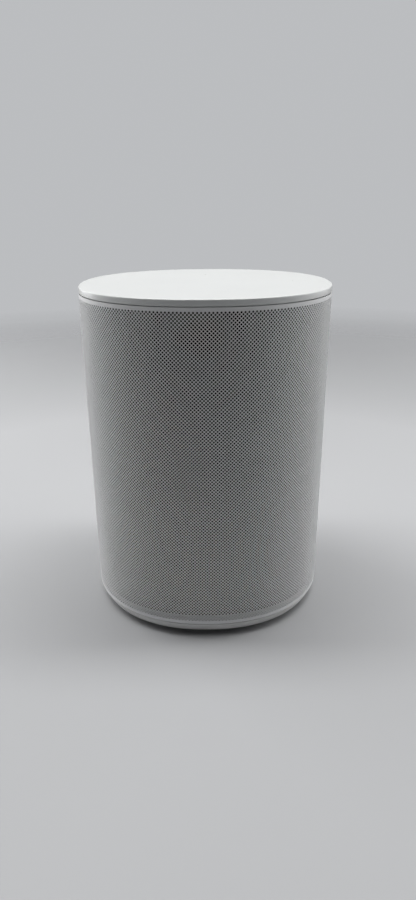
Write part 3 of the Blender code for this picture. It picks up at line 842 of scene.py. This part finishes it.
@dataclass
class Grille(Assembly):
    """Perforated wrap, built cell by cell, and the cloth behind it.

    The wrap is a lattice of diamonds, each with a hole through it. Every other
    row is shifted by half a pitch. Plain diamonds make the border.
    """

    pitch: float = 1.62 * MM
    hole: float = 0.48 * MM
    hole_sides: int = 8
    wall: float = 0.25 * MM
    panels: int = 7
    columns: int = 27
    rows: int = 182
    border_rows: int = 3
    end_columns: int = 2
    rear_half: float = 34.3 * MM

    def bottom(self) -> float:
        """Return the wrap's lower edge."""
        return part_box("grille")[0].z

    def top(self) -> float:
        """Return the wrap's upper edge."""
        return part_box("grille")[1].z

    def plain_cell(self) -> Object:
        """Model one diamond of the border: a face in front and one behind."""
        deselect()
        bpy.ops.mesh.primitive_circle_add(vertices=4, radius=self.pitch / 2, fill_type="NGON",
                                          rotation=(math.pi / 2, 0.0, 0.0))
        cell = bpy.context.object
        cell.name = "plain_cell"
        bpy.ops.object.transform_apply(rotation=True)
        with editing(cell):
            bpy.ops.mesh.select_all(action="SELECT")
            bpy.ops.mesh.duplicate_move(TRANSFORM_OT_translate={"value": (0.0, self.wall, 0.0)})
        return cell

    def holed_cell(self) -> Object:
        """Model one diamond with its hole: front, wall and back."""
        deselect()
        bpy.ops.mesh.primitive_circle_add(vertices=4, radius=self.pitch / 2,
                                          rotation=(math.pi / 2, 0.0, 0.0))
        cell = bpy.context.object
        cell.name = "holed_cell"
        bpy.ops.object.transform_apply(rotation=True)
        near_hole = self.hole * 1.05
        with editing(cell):
            bpy.ops.mesh.primitive_circle_add(vertices=self.hole_sides, radius=self.hole,
                                              rotation=(math.pi / 2, 0.0, 0.0))
            bpy.ops.mesh.select_all(action="SELECT")
            bpy.ops.mesh.bridge_edge_loops()
            bpy.ops.mesh.select_all(action="SELECT")
            bpy.ops.mesh.duplicate_move(TRANSFORM_OT_translate={"value": (0.0, self.wall, 0.0)})
            pick(cell, lambda place: math.hypot(place.x, place.z) < near_hole)
            bpy.ops.mesh.bridge_edge_loops()
        return cell

    def tiled(self, cell: Object, columns: int, first_row: int, rows: int) -> Object:
        """Repeat a cell over a stretch of the lattice.

        Args:
            cell: The cell, at the origin.
            columns: How many columns wide the stretch is.
            first_row: Its first row; row 0 is the highest row with holes.
            rows: How many rows it has.

        Returns:
            The stretch, flat, starting at X = 0.
        """
        step = self.pitch / 2
        first_height = (self.bottom() + self.top()) / 2 + (self.rows - 1) * step / 2
        halves = []
        for start in (first_row, first_row + 1):
            count = len(range(start, first_row + rows, 2))
            if count == 0:
                continue
            strip = copied(cell, "strip")
            shifted(strip, (start % 2 * step, 0.0, first_height - start * step))
            for number, offset in ((columns, (self.pitch, 0.0, 0.0)), (count, (0.0, 0.0, -self.pitch))):
                applied(strip, "ARRAY", count=number, use_relative_offset=False,
                        use_constant_offset=True, constant_offset_displace=offset)
            halves.append(strip)
        return joined("stretch", *halves)

    def trimmed(self, sheet: Object, *planes: tuple[Point, Point]) -> Object:
        """Cut a sheet at planes, drop what lies beyond them and close its edge.

        Args:
            sheet: The flat sheet: a front and a back.
            planes: Pairs of a point and the way that is cut away.

        Returns:
            The closed sheet.
        """
        with editing(sheet):
            bpy.ops.mesh.select_all(action="SELECT")
            bpy.ops.mesh.remove_doubles(threshold=0.01 * MM)
            for point, away in planes:
                bpy.ops.mesh.select_all(action="SELECT")
                bpy.ops.mesh.bisect(plane_co=point, plane_no=away, clear_outer=True)
            bpy.ops.mesh.select_mode(type="EDGE")
            bpy.ops.mesh.select_all(action="DESELECT")
            bpy.ops.mesh.select_non_manifold(extend=False, use_wire=False, use_multi_face=False,
                                             use_non_contiguous=False, use_verts=False)
            bpy.ops.mesh.bridge_edge_loops()
            bpy.ops.mesh.select_mode(type="VERT")
            bpy.ops.mesh.select_all(action="SELECT")
            bpy.ops.mesh.normals_make_consistent(inside=False)
        return smoothed(sheet, 40.0)

    def unwrapped(self, sheet: Object) -> None:
        """Lay the flat sheet out for its bake: the front beside the back."""
        mesh = sheet.data
        corners = np.empty(len(mesh.loops), dtype=np.int64)
        mesh.loops.foreach_get("vertex_index", corners)
        flat = np.empty(len(mesh.vertices) * 3)
        mesh.vertices.foreach_get("co", flat)
        place = flat.reshape(-1, 3)[corners]
        centre = np.empty(len(mesh.polygons) * 3)
        mesh.polygons.foreach_get("center", centre)
        sides = np.empty(len(mesh.polygons), dtype=np.int64)
        mesh.polygons.foreach_get("loop_total", sides)
        behind = np.repeat(centre.reshape(-1, 3)[:, 1] > self.wall * 0.9, sides)
        low, high = place.min(axis=0), place.max(axis=0)
        size = high[2] - low[2]
        across = (place[:, 0] - low[0]) / size + behind * 1.05 * (high[0] - low[0]) / size
        up = (place[:, 2] - low[2]) / size
        layer = mesh.uv_layers.new(name="OFBake")
        layer.data.foreach_set("uv", np.stack((across, up), axis=1).ravel())

    def panel(self, cell: Object, plain: Object) -> Object:
        """Model one flat panel of the wrap, with its plain upper and lower border."""
        field = self.tiled(cell, self.columns, 0, self.rows)
        above = self.tiled(plain, self.columns, -self.border_rows, self.border_rows)
        below = self.tiled(plain, self.columns, self.rows, self.border_rows)
        sheet = joined("panel", field, above, below)
        return self.trimmed(sheet, ((0.0, 0.0, self.top()), (0.0, 0.0, 1.0)),
                            ((0.0, 0.0, self.bottom()), (0.0, 0.0, -1.0)))

    def end_strip(self, plain: Object, start: float, edge: float) -> Object:
        """Model the plain flat strip between the last column and a rear edge.

        Args:
            plain: The border's cell.
            start: Where its first column lies along the outline.
            edge: Where the rear edge lies along the outline.

        Returns:
            The strip.
        """
        rows = self.rows + 2 * self.border_rows
        sheet = self.tiled(plain, self.end_columns, -self.border_rows, rows)
        way = math.copysign(1.0, edge)
        return self.trimmed(sheet, ((0.0, 0.0, self.top()), (0.0, 0.0, 1.0)),
                            ((0.0, 0.0, self.bottom()), (0.0, 0.0, -1.0)),
                            ((edge - start, 0.0, 0.0), (way, 0.0, 0.0)))

    def build(self) -> None:
        """Model and dress the wrap's panels, its ends and the cloth."""
        cell, plain = self.holed_cell(), self.plain_cell()
        first = -(self.panels * self.columns - 1) / 2 * self.pitch
        edge = self.footprint.reach(self.rear_half)
        flat = self.panel(cell, plain)
        self.unwrapped(flat)
        for number in range(self.panels):
            panel = copied(flat, f"grille_panel_{number + 1}")
            self.footprint.bend(panel, first + number * self.columns * self.pitch)
            self.place(panel, WHITE_COAT, "grille_coat", "grille")
        starts = (first - self.end_columns * self.pitch, -first + self.pitch)
        for name, start, rim in zip(("left", "right"), starts, (-edge, edge)):
            strip = self.end_strip(plain, start, rim)
            self.unwrapped(strip)
            strip.name = f"grille_edge_{name}"
            self.footprint.bend(strip, start)
            self.place(strip, WHITE_COAT, "grille_coat", "grille")
        for used in (cell, plain, flat):
            bpy.data.objects.remove(used, do_unlink=True)
        low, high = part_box("acoustic_liner")
        cloth = self.sheet("liner_cloth_band", (-edge, edge), (0.7 * MM, 1.1 * MM), (low.z, high.z))
        self.place(cloth, LINER_CLOTH, "liner_cloth", "acoustic_liner")


@dataclass
class RearPanel(Assembly):
    """Plain back with rounded openings for its controls and sockets."""

    wall: float = 2.0 * MM
    rear_half: float = 34.0 * MM
    post_radius: float = 2.0 * MM
    post_reach: tuple[float, float] = (15.0 * MM, 18.5 * MM)

    def window(self, node: str, half_width: float, half_height: float, corner: float) -> Object:
        """Return a cutter with rounded corners round the middle of a node.

        Args:
            node: The node that looks through the opening.
            half_width: Half the opening's width.
            half_height: Half its height.
            corner: The radius of its corners.
        """
        centre = middle(node)
        return pill("window", (-half_width, 54 * MM, centre.z - half_height),
                    (half_width, 66 * MM, centre.z + half_height), corner)

    def build(self) -> None:
        """Model and dress the back panel."""
        low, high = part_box("rear_panel")
        total, edge = self.footprint.length(), self.footprint.reach(self.rear_half)
        panel = self.sheet("back_panel", (edge, total - edge), (0.0, self.wall), (low.z, high.z), 96)
        softened(panel, 0.25 * MM, 2)
        board_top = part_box("port_board")[1].y
        post_middle = (middle("usb_socket").z + middle("pairing_button").z) / 2 + 2 * MM
        across, up = self.post_reach
        posts = [bar("post", (x, board_top + 0.3 * MM, post_middle + z), 58 * MM - board_top,
                     self.post_radius, Axis.Y) for x in (-across, across) for z in (-up, up)]
        grown(panel, *posts)
        button = middle("pairing_button")
        carved(panel, self.window("power_inlet", 11.3 * MM, 7.3 * MM, 2.2 * MM),
               self.window("usb_socket", 5.0 * MM, 2.2 * MM, 2.15 * MM),
               self.window("mic_switch_body", 4.4 * MM, 1.8 * MM, 1.2 * MM),
               bar("window", (0.0, 54 * MM, button.z), 12 * MM, 4.3 * MM, Axis.Y, 64))
        self.place(smoothed(panel), WHITE_SHELL, "shell_plastic", "rear_panel")


@dataclass
class Base(Assembly):
    """Base tray with its tapered strip, the foot ring and the base screws."""

    drop: float = 2.2 * MM
    strip: float = 4.9 * MM
    taper: float = 2.4 * MM
    foot: tuple[float, float] = (41.0 * MM, 51.0 * MM)
    groove: float = 1.2 * MM
    floor: float = 8.3 * MM
    upstand: tuple[float, float] = (55.7 * MM, 57.4 * MM)
    head: float = 2.8 * MM
    head_height: float = 1.8 * MM
    shank: float = 1.3 * MM
    clearance: float = 0.35 * MM
    screw_places: tuple[float, float] = (26.0 * MM, 20.0 * MM)

    def tray(self) -> Object:
        """Model the base tray."""
        low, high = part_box("base_tray")
        half, strip_top = high.x, low.z + self.strip
        inner, outer = self.foot
        gap = 0.3 * MM
        groove_top = low.z + self.groove
        tray = self.soft_square("base_shell", [
            (0.0, low.z), (inner - gap, low.z), (inner - gap, groove_top),
            (outer + gap, groove_top), (outer + gap, low.z), (half - self.taper - 0.5 * MM, low.z),
            (half - self.taper - 0.1 * MM, low.z + 0.15 * MM),
            (half - self.taper + 0.2 * MM, low.z + 0.55 * MM),
            (half - 0.2 * MM, strip_top - 0.5 * MM), (half - 0.05 * MM, strip_top - 0.2 * MM),
            (half - 0.2 * MM, strip_top), (self.upstand[1], strip_top), (self.upstand[1], high.z),
            (self.upstand[0], high.z), (self.upstand[0], self.floor), (0.0, self.floor)])
        seat = low.z + self.head_height + 0.8 * MM + gap
        drills = []
        for x in (-self.screw_places[0], self.screw_places[0]):
            for y in (-self.screw_places[1], self.screw_places[1]):
                drills.append(turned("drill", [
                    (0.0, 0.0), (self.head + self.clearance, 0.0), (self.head + self.clearance, seat),
                    (self.shank + self.clearance, seat), (self.shank + self.clearance, 12 * MM),
                    (0.0, 12 * MM)], 32, Axis.Z, (x, y, 0.0)))
        return smoothed(carved(tray, *drills))

    def build(self) -> None:
        """Model and dress the base's pieces."""
        self.place(self.tray(), WHITE_SHELL, "shell_plastic", "base_tray")
        low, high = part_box("foot_ring")
        inner, outer = self.foot
        foot = self.soft_square("rubber_foot", [
            (inner + 0.6 * MM, low.z), (outer - 0.6 * MM, low.z), (outer - 0.15 * MM, low.z + 0.2 * MM),
            (outer, low.z + 0.6 * MM), (outer, high.z), (inner, high.z), (inner, low.z + 0.6 * MM),
            (inner + 0.15 * MM, low.z + 0.2 * MM)])
        self.place(foot, FOOT_RUBBER, "foot_rubber", "foot_ring")
        for number in range(1, 5):
            node = f"base_screw_{number}"
            self.place(Screw(node, -1.0, Axis.Z).build(), ZINC, "zinc_steel", node)


@dataclass
class Screw:
    """A pan-head screw with a cross recess, standing for a node of the frame."""

    node: str
    head_way: float
    axis: Axis
    head_share: float = 0.65

    def build(self) -> Object:
        """Model the screw inside its node's box.

        Returns:
            The screw, not yet dressed.
        """
        low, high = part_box(self.node)
        centre = (low + high) / 2
        index = 1 if self.axis is Axis.Y else 2
        head = (high.x - low.x) / 2
        shank, height = head * 0.464, head * self.head_share
        top = high[index] if self.head_way > 0 else low[index]
        tip = low[index] if self.head_way > 0 else high[index]
        way = self.head_way
        profile = [(0.0, top), (head * 0.62, top), (head * 0.88, top - way * height * 0.18),
                   (head, top - way * height * 0.5), (head, top - way * height),
                   (shank, top - way * height), (shank, tip + way * shank * 0.9), (shank * 0.25, tip),
                   (0.0, tip)]
        spot = (centre.x, centre.y, 0.0) if index == 2 else (centre.x, 0.0, centre.z)
        screw = turned(self.node + "_fine", profile, 32, self.axis, spot)
        arm, blade = head * 0.62, head * 0.13
        for half in (Vector((arm, blade, blade)), Vector((blade, arm, arm))):
            half[index] = height * 0.5
            spot_top = Vector(spot)
            spot_top[index] = top
            slot = block("slot", spot_top - half, spot_top + half)
            carved(screw, slot)
        return smoothed(screw)


@dataclass
class Controls(Assembly):
    """Pairing button, microphone switch, data socket and power inlet."""

    travel: float = 3.0 * MM

    def button(self) -> None:
        """Model the push button with a dished face and a collar."""
        low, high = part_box("pairing_button")
        centre = middle("pairing_button")
        collar = (high.x - low.x) / 2
        radius, face = collar - 1.2 * MM, high.y
        dish = [(radius * 0.8 * math.sin(turn), face - 0.35 * MM * math.cos(turn))
                for turn in np.linspace(0.0, math.pi / 2, 8)]
        profile = [(0.0, low.y), (2.0 * MM, low.y), (2.0 * MM, low.y + 1.4 * MM), (collar, low.y + 1.4 * MM),
                   (collar, low.y + 2.8 * MM), (radius, low.y + 2.8 * MM), (radius, face - 0.4 * MM),
                   (radius - 0.12 * MM, face - 0.12 * MM), (radius - 0.4 * MM, face), *dish[::-1]]
        button = turned("button_cap", profile, 64, Axis.Y, (0.0, 0.0, centre.z))
        self.place(button, BUTTON_PLASTIC, "shell_plastic", "pairing_button", body=Body.BUTTON)

    def slider(self) -> None:
        """Model the sliding switch's cap with three grooves."""
        low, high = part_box("mic_switch_slider")
        cap = block("slider_cap", low, high, 0.25 * MM)
        centre = (low + high) / 2
        grooves = []
        for step in (-1, 0, 1):
            x = centre.x + step * 1.1 * MM
            grooves.append(block("groove", (x - 0.2 * MM, high.y - 0.4 * MM, low.z - MM),
                                 (x + 0.2 * MM, high.y + MM, high.z + MM)))
        carved(cap, *grooves)
        self.place(smoothed(cap), BUTTON_PLASTIC, "shell_plastic", "mic_switch_slider", body=Body.SWITCH)

    def usb(self) -> None:
        """Model the data socket: a rounded shell with a tongue in it."""
        low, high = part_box("usb_socket")
        centre = (low + high) / 2
        shell = pill("usb_shell", low, high, (high.z - low.z) / 2 * 0.98)
        wall = 0.4 * MM
        inside = Vector((wall, 0.0, wall))
        cavity_low, cavity_high = low + inside, high - inside
        cavity_low.y, cavity_high.y = 52.5 * MM, high.y + MM
        carved(shell, pill("cavity", cavity_low, cavity_high, (cavity_high.z - cavity_low.z) / 2 * 0.98))
        self.place(smoothed(shell), ZINC, "zinc_steel", "usb_socket")
        tongue = block("usb_tongue", (-3.3 * MM, 52.5 * MM, centre.z - 0.35 * MM),
                       (3.3 * MM, high.y - 1.0 * MM, centre.z + 0.35 * MM), 0.15 * MM)
        self.place(tongue, BLACK_PLASTIC, "black_plastic", "usb_socket")

    def inlet(self) -> None:
        """Model the power inlet: a collar, a figure-eight well and two pins."""
        low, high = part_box("power_inlet")
        centre = (low + high) / 2
        housing = pill("inlet_housing", low, high, 1.9 * MM)
        floor, lobe, spread = 45.5 * MM, 4.3 * MM, 3.9 * MM
        well = grown(bar("well", (-spread, floor, centre.z), high.y - floor + MM, lobe, Axis.Y, 48),
                     bar("lobe", (spread, floor, centre.z), high.y - floor + MM, lobe, Axis.Y, 48),
                     block("neck", (-spread, floor, centre.z - lobe * 0.72),
                           (spread, high.y + MM, centre.z + lobe * 0.72)))
        carved(housing, well)
        self.place(smoothed(housing), BLACK_PLASTIC, "black_plastic", "power_inlet")
        for side, x in (("left", -4.3 * MM), ("right", 4.3 * MM)):
            pin = turned(f"inlet_pin_{side}", [
                (0.0, floor), (1.2 * MM, floor), (1.2 * MM, 53.2 * MM), (1.05 * MM, 53.7 * MM),
                (0.7 * MM, 54.0 * MM), (0.0, 54.0 * MM)], 32, Axis.Y, (x, 0.0, centre.z))
            self.place(pin, ZINC, "zinc_steel", "power_inlet")

    def build(self) -> None:
        """Model and dress the controls and the sockets."""
        self.button()
        self.slider()
        self.usb()
        self.inlet()


@dataclass
class Interior(Assembly):
    """The nodes whose shape is already right: they only get their finish."""

    finishes: dict[str, Finish | BoardFinish] = field(default_factory=lambda: {
        "mic_gasket": SEAL_FOAM, "status_light_pipe": LIGHT_PIPE, "touch_board": BOARD,
        "touch_ribbon": AMBER_FILM, "top_frame": FRAME_PLASTIC, "main_board": BOARD,
        "processor_shield": ZINC, "cabinet_front": FRAME_PLASTIC, "cabinet_rear": FRAME_PLASTIC,
        "cabinet_gasket": SEAL_FOAM, "woofer_basket": BLACK_PLASTIC, "woofer_gasket": SEAL_FOAM,
        "woofer_top_plate": ZINC, "woofer_magnet": FERRITE, "woofer_yoke": ZINC,
        "woofer_cone": CONE_PAPER,
        "woofer_dust_cap": CONE_PAPER, "woofer_voice_coil": COPPER,
        "tweeter_waveguide": BLACK_PLASTIC, "tweeter_dome": DOME_SILK, "tweeter_magnet": FERRITE,
        "antenna_left": FOIL, "antenna_right": FOIL, "power_board": BOARD, "amp_board": BOARD,
        "port_board": BOARD, "transformer": COPPER, "bulk_capacitor": BLACK_PLASTIC,
        "heat_sink": ALUMINIUM, "power_harness": BLACK_PLASTIC, "button_switch": BLACK_PLASTIC,
        "mic_switch_body": BLACK_PLASTIC})
    screw_prefixes: tuple[str, ...] = ("cabinet_screw_", "woofer_screw_", "tweeter_screw_")

    def build(self) -> None:
        """Give every carried-over node its material."""
        for name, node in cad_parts.items():
            finish = self.finishes.get(name)
            if name.startswith(self.screw_prefixes):
                finish = BLACK_STEEL
            if finish is None:
                continue
            material = finish.material()
            for slot in node.material_slots:
                slot.material = material
            if not node.material_slots:
                node.data.materials.append(material)
            log.info("%s keeps its shape, %s", name, finish.name)


@dataclass
class Woofer(Assembly):
    """The rubber roll and the cloth spider, which stretch between basket and cone."""

    roll_middle: float = 32.7 * MM
    roll_outer: float = 2.2 * MM
    roll_inner: float = 1.7 * MM
    lip_front: float = -43.5 * MM
    lip_back: float = -43.1 * MM
    lip_reach: float = 36.0 * MM
    cone_reach: float = 29.7 * MM
    spider_inner: float = 13.3 * MM
    spider_outer: float = 23.8 * MM
    spider_depth: float = -21.5 * MM
    spider_rise: float = 0.6 * MM
    spider_cloth: float = 0.4 * MM
    spider_glue: float = 0.6 * MM
    waves: int = 5
    steps_per_wave: int = 8

    def flexed(self, ring: Object, inner: float, outer: float) -> None:
        """Bake a ring's place into its mesh and read its points; nothing moves them yet, so the ring does
        not stretch.

        Args:
            ring: The ring, in its place.
            inner: Not used.
            outer: Not used.
        """
        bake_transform(ring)
        places = np.empty(len(ring.data.vertices) * 3)
        ring.data.vertices.foreach_get("co", places)
        places = places.reshape(-1, 3)

    def surround(self, centre: Point) -> Object:
        """Model the half roll with its two flat lips."""
        over = [(self.roll_middle + self.roll_outer * math.cos(turn),
                 self.lip_front - self.roll_outer * math.sin(turn))
                for turn in np.linspace(0.0, math.pi, 17)]
        under = [(self.roll_middle + self.roll_inner * math.cos(turn),
                  self.lip_front - self.roll_inner * math.sin(turn))
                 for turn in np.linspace(math.pi, 0.0, 17)]
        lips = [(self.lip_reach, self.lip_front), (self.lip_reach, self.lip_back),
                (self.roll_middle + self.roll_inner, self.lip_back)]
        inner_lips = [(self.roll_middle - self.roll_inner, self.lip_back),
                      (self.cone_reach, self.lip_back)]
        profile = over + inner_lips[::-1] + under + lips[::-1]
        return turned("woofer_roll", profile, 96, Axis.Y, centre)

    def spider(self, centre: Point) -> Object:
        """Model the corrugated cloth disc round the voice coil."""
        count = self.waves * self.steps_per_wave
        wave = []
        for step in range(count + 1):
            share = step / count
            radius = self.spider_inner + share * (self.spider_outer - self.spider_inner)
            rise = self.spider_rise * math.cos(math.pi * self.waves * share)
            wave.append((radius, self.spider_depth + rise))
        back = [(radius, height + self.spider_cloth) for radius, height in reversed(wave)]
        return turned("spider_cloth", wave + back, 96, Axis.Y, centre)

    def build(self) -> None:
        """Model and dress both rings."""
        cone = middle("woofer_cone")
        centre = (cone.x, 0.0, cone.z)
        roll, spider = self.surround(centre), self.spider(centre)
        self.place(roll, ROLL_RUBBER, "surround_rubber", "woofer_surround", body=None)
        self.place(spider, SPIDER_CLOTH, "spider_cloth", "woofer_spider", body=None)
        self.flexed(roll, self.roll_middle - self.roll_outer, self.roll_middle + self.roll_outer)
        self.flexed(spider, self.spider_inner + self.spider_glue, self.spider_outer - self.spider_glue)


# ----------------------------------------------------------------------- stage

@dataclass
class Stage:
    """Plain pale floor that fades into a plain room, soft lamps and the camera."""

    floor_radius: float = 1.0
    fade_start: float = 0.30
    eye: Point = (0.7 * MM, -313.0 * MM, 197.5 * MM)
    pitch: float = 21.5
    roll: float = -0.43
    lens: float = 25.28
    paper: Point = (0.465, 0.47, 0.48)
    paper_shade: Point = (0.45, 0.455, 0.465)
    backdrop: Point = (0.50, 0.51, 0.525)
    ambient: float = 0.015

    def paper_material(self) -> Material:
        """Return the floor's material: matt paper that fades out towards its rim."""
        graph = Graph("studio_paper")
        inputs = graph.shader.inputs
        cloud = graph.span(graph.noise(0.35, 2.0), 0.0, 1.0)
        graph.join(graph.mixed(cloud, self.paper, self.paper_shade), inputs["Base Color"])
        graph.join(graph.span(cloud, 0.86, 0.92, 0.0, 1.0), inputs["Roughness"])
        distance = graph.node("ShaderNodeVectorMath", operation="LENGTH")
        graph.join(graph.place, distance.inputs[0])
        fade = graph.span(distance.outputs["Value"], 0.0, 1.0, self.fade_start, self.floor_radius)
        blend = graph.node("ShaderNodeMixShader")
        clear = graph.node("ShaderNodeBsdfTransparent")
        graph.join(fade, blend.inputs["Fac"])
        graph.join(graph.shader.outputs["BSDF"], blend.inputs[1])
        graph.join(clear.outputs["BSDF"], blend.inputs[2])
        graph.join(blend.outputs["Shader"], graph.nodes["Material Output"].inputs["Surface"])
        return graph.material

    def floor(self) -> None:
        """Model the round floor."""
        radius, drop = self.floor_radius, 0.02
        floor = turned("studio_floor", [(0.0, 0.0), (radius, 0.0), (radius, -drop), (0.0, -drop)], 96)
        floor.data.materials.append(self.paper_material())

    def lamp(self, name: str, place: Point, aim: Point, size: tuple[float, float], power: float) -> None:
        """Add a soft rectangular lamp.

        Args:
            name: The lamp's name.
            place: Where it stands.
            aim: The point that it faces.
            size: Its width and height.
            power: Its power in watts.
        """
        data = bpy.data.lights.new(name, "AREA")
        data.shape = "RECTANGLE"
        data.size, data.size_y = size
        data.energy = power
        lamp = bpy.data.objects.new(name, data)
        lamp.location = place
        lamp.rotation_euler = (Vector(aim) - Vector(place)).to_track_quat("-Z", "Y").to_euler()
        lamp.visible_camera = False
        bpy.context.collection.objects.link(lamp)

    def lights(self) -> None:
        """Add the lamps."""
        aim = (0.0, 0.0, 0.08)
        self.lamp("overhead_strip", (0.0, 0.08, 1.10), aim, (1.6, 0.2), 11.6)
        self.lamp("overhead_back", (0.0, 0.35, 0.95), aim, (1.1, 0.5), 1.9)
        self.lamp("overhead_front", (0.0, -0.20, 1.10), aim, (1.6, 0.2), 1.8)
        self.lamp("back_left", (-0.70, 0.45, 0.30), aim, (0.4, 0.5), 2.9)
        self.lamp("back_right", (0.70, 0.45, 0.30), aim, (0.4, 0.5), 0.9)
        self.lamp("side_right", (0.80, 0.12, 0.32), aim, (0.5, 0.5), 1.7)
        self.lamp("side_left", (-0.80, 0.12, 0.32), aim, (0.5, 0.5), 0.7)

    def room(self) -> None:
        """Light the room faintly, and give it a plain pale backdrop."""
        world = bpy.data.worlds.new("room")
        world.use_nodes = True
        nodes, links = world.node_tree.nodes, world.node_tree.links
        seen, glow = nodes["Background"], nodes.new("ShaderNodeBackground")
        seen.inputs["Color"].default_value = (*self.backdrop, 1.0)
        glow.inputs["Color"].default_value = (0.95, 0.97, 1.0, 1.0)
        glow.inputs["Strength"].default_value = self.ambient
        ray, blend = nodes.new("ShaderNodeLightPath"), nodes.new("ShaderNodeMixShader")
        links.new(ray.outputs["Is Camera Ray"], blend.inputs["Fac"])
        links.new(glow.outputs["Background"], blend.inputs[1])
        links.new(seen.outputs["Background"], blend.inputs[2])
        links.new(blend.outputs["Shader"], nodes["World Output"].inputs["Surface"])
        scene = bpy.context.scene
        scene.world = world
        scene.view_settings.view_transform = "Standard"

    def camera(self) -> None:
        """Place the camera a little above the speaker, in front of it."""
        data = bpy.data.cameras.new("camera")
        data.lens = self.lens
        data.sensor_width = 36.0
        data.clip_start = 0.01
        camera = bpy.data.objects.new("camera", data)
        camera.location = self.eye
        down = math.radians(self.pitch)
        facing = Vector((0.0, math.cos(down), -math.sin(down))).to_track_quat("-Z", "Y")
        camera.rotation_mode = "QUATERNION"
        camera.rotation_quaternion = facing @ Quaternion((0.0, 0.0, 1.0), math.radians(self.roll))
        bpy.context.collection.objects.link(camera)
        bpy.context.scene.camera = camera

    def build(self) -> None:
        """Set up the studio."""
        self.camera()
        self.floor()
        self.lights()
        self.room()


def main() -> None:
    """Build every sub-assembly in order."""
    logging.basicConfig(level=logging.INFO, format="%(name)s: %(message)s")
    Stage().build()
    footprint = Footprint(CAD_BOX[1].x)
    for assembly in (Interior, Woofer, TopCover, Grille, RearPanel, Base, Controls):
        assembly(footprint).build()
    log.info("all pieces are in place")


if __name__ == "__main__":
    main()
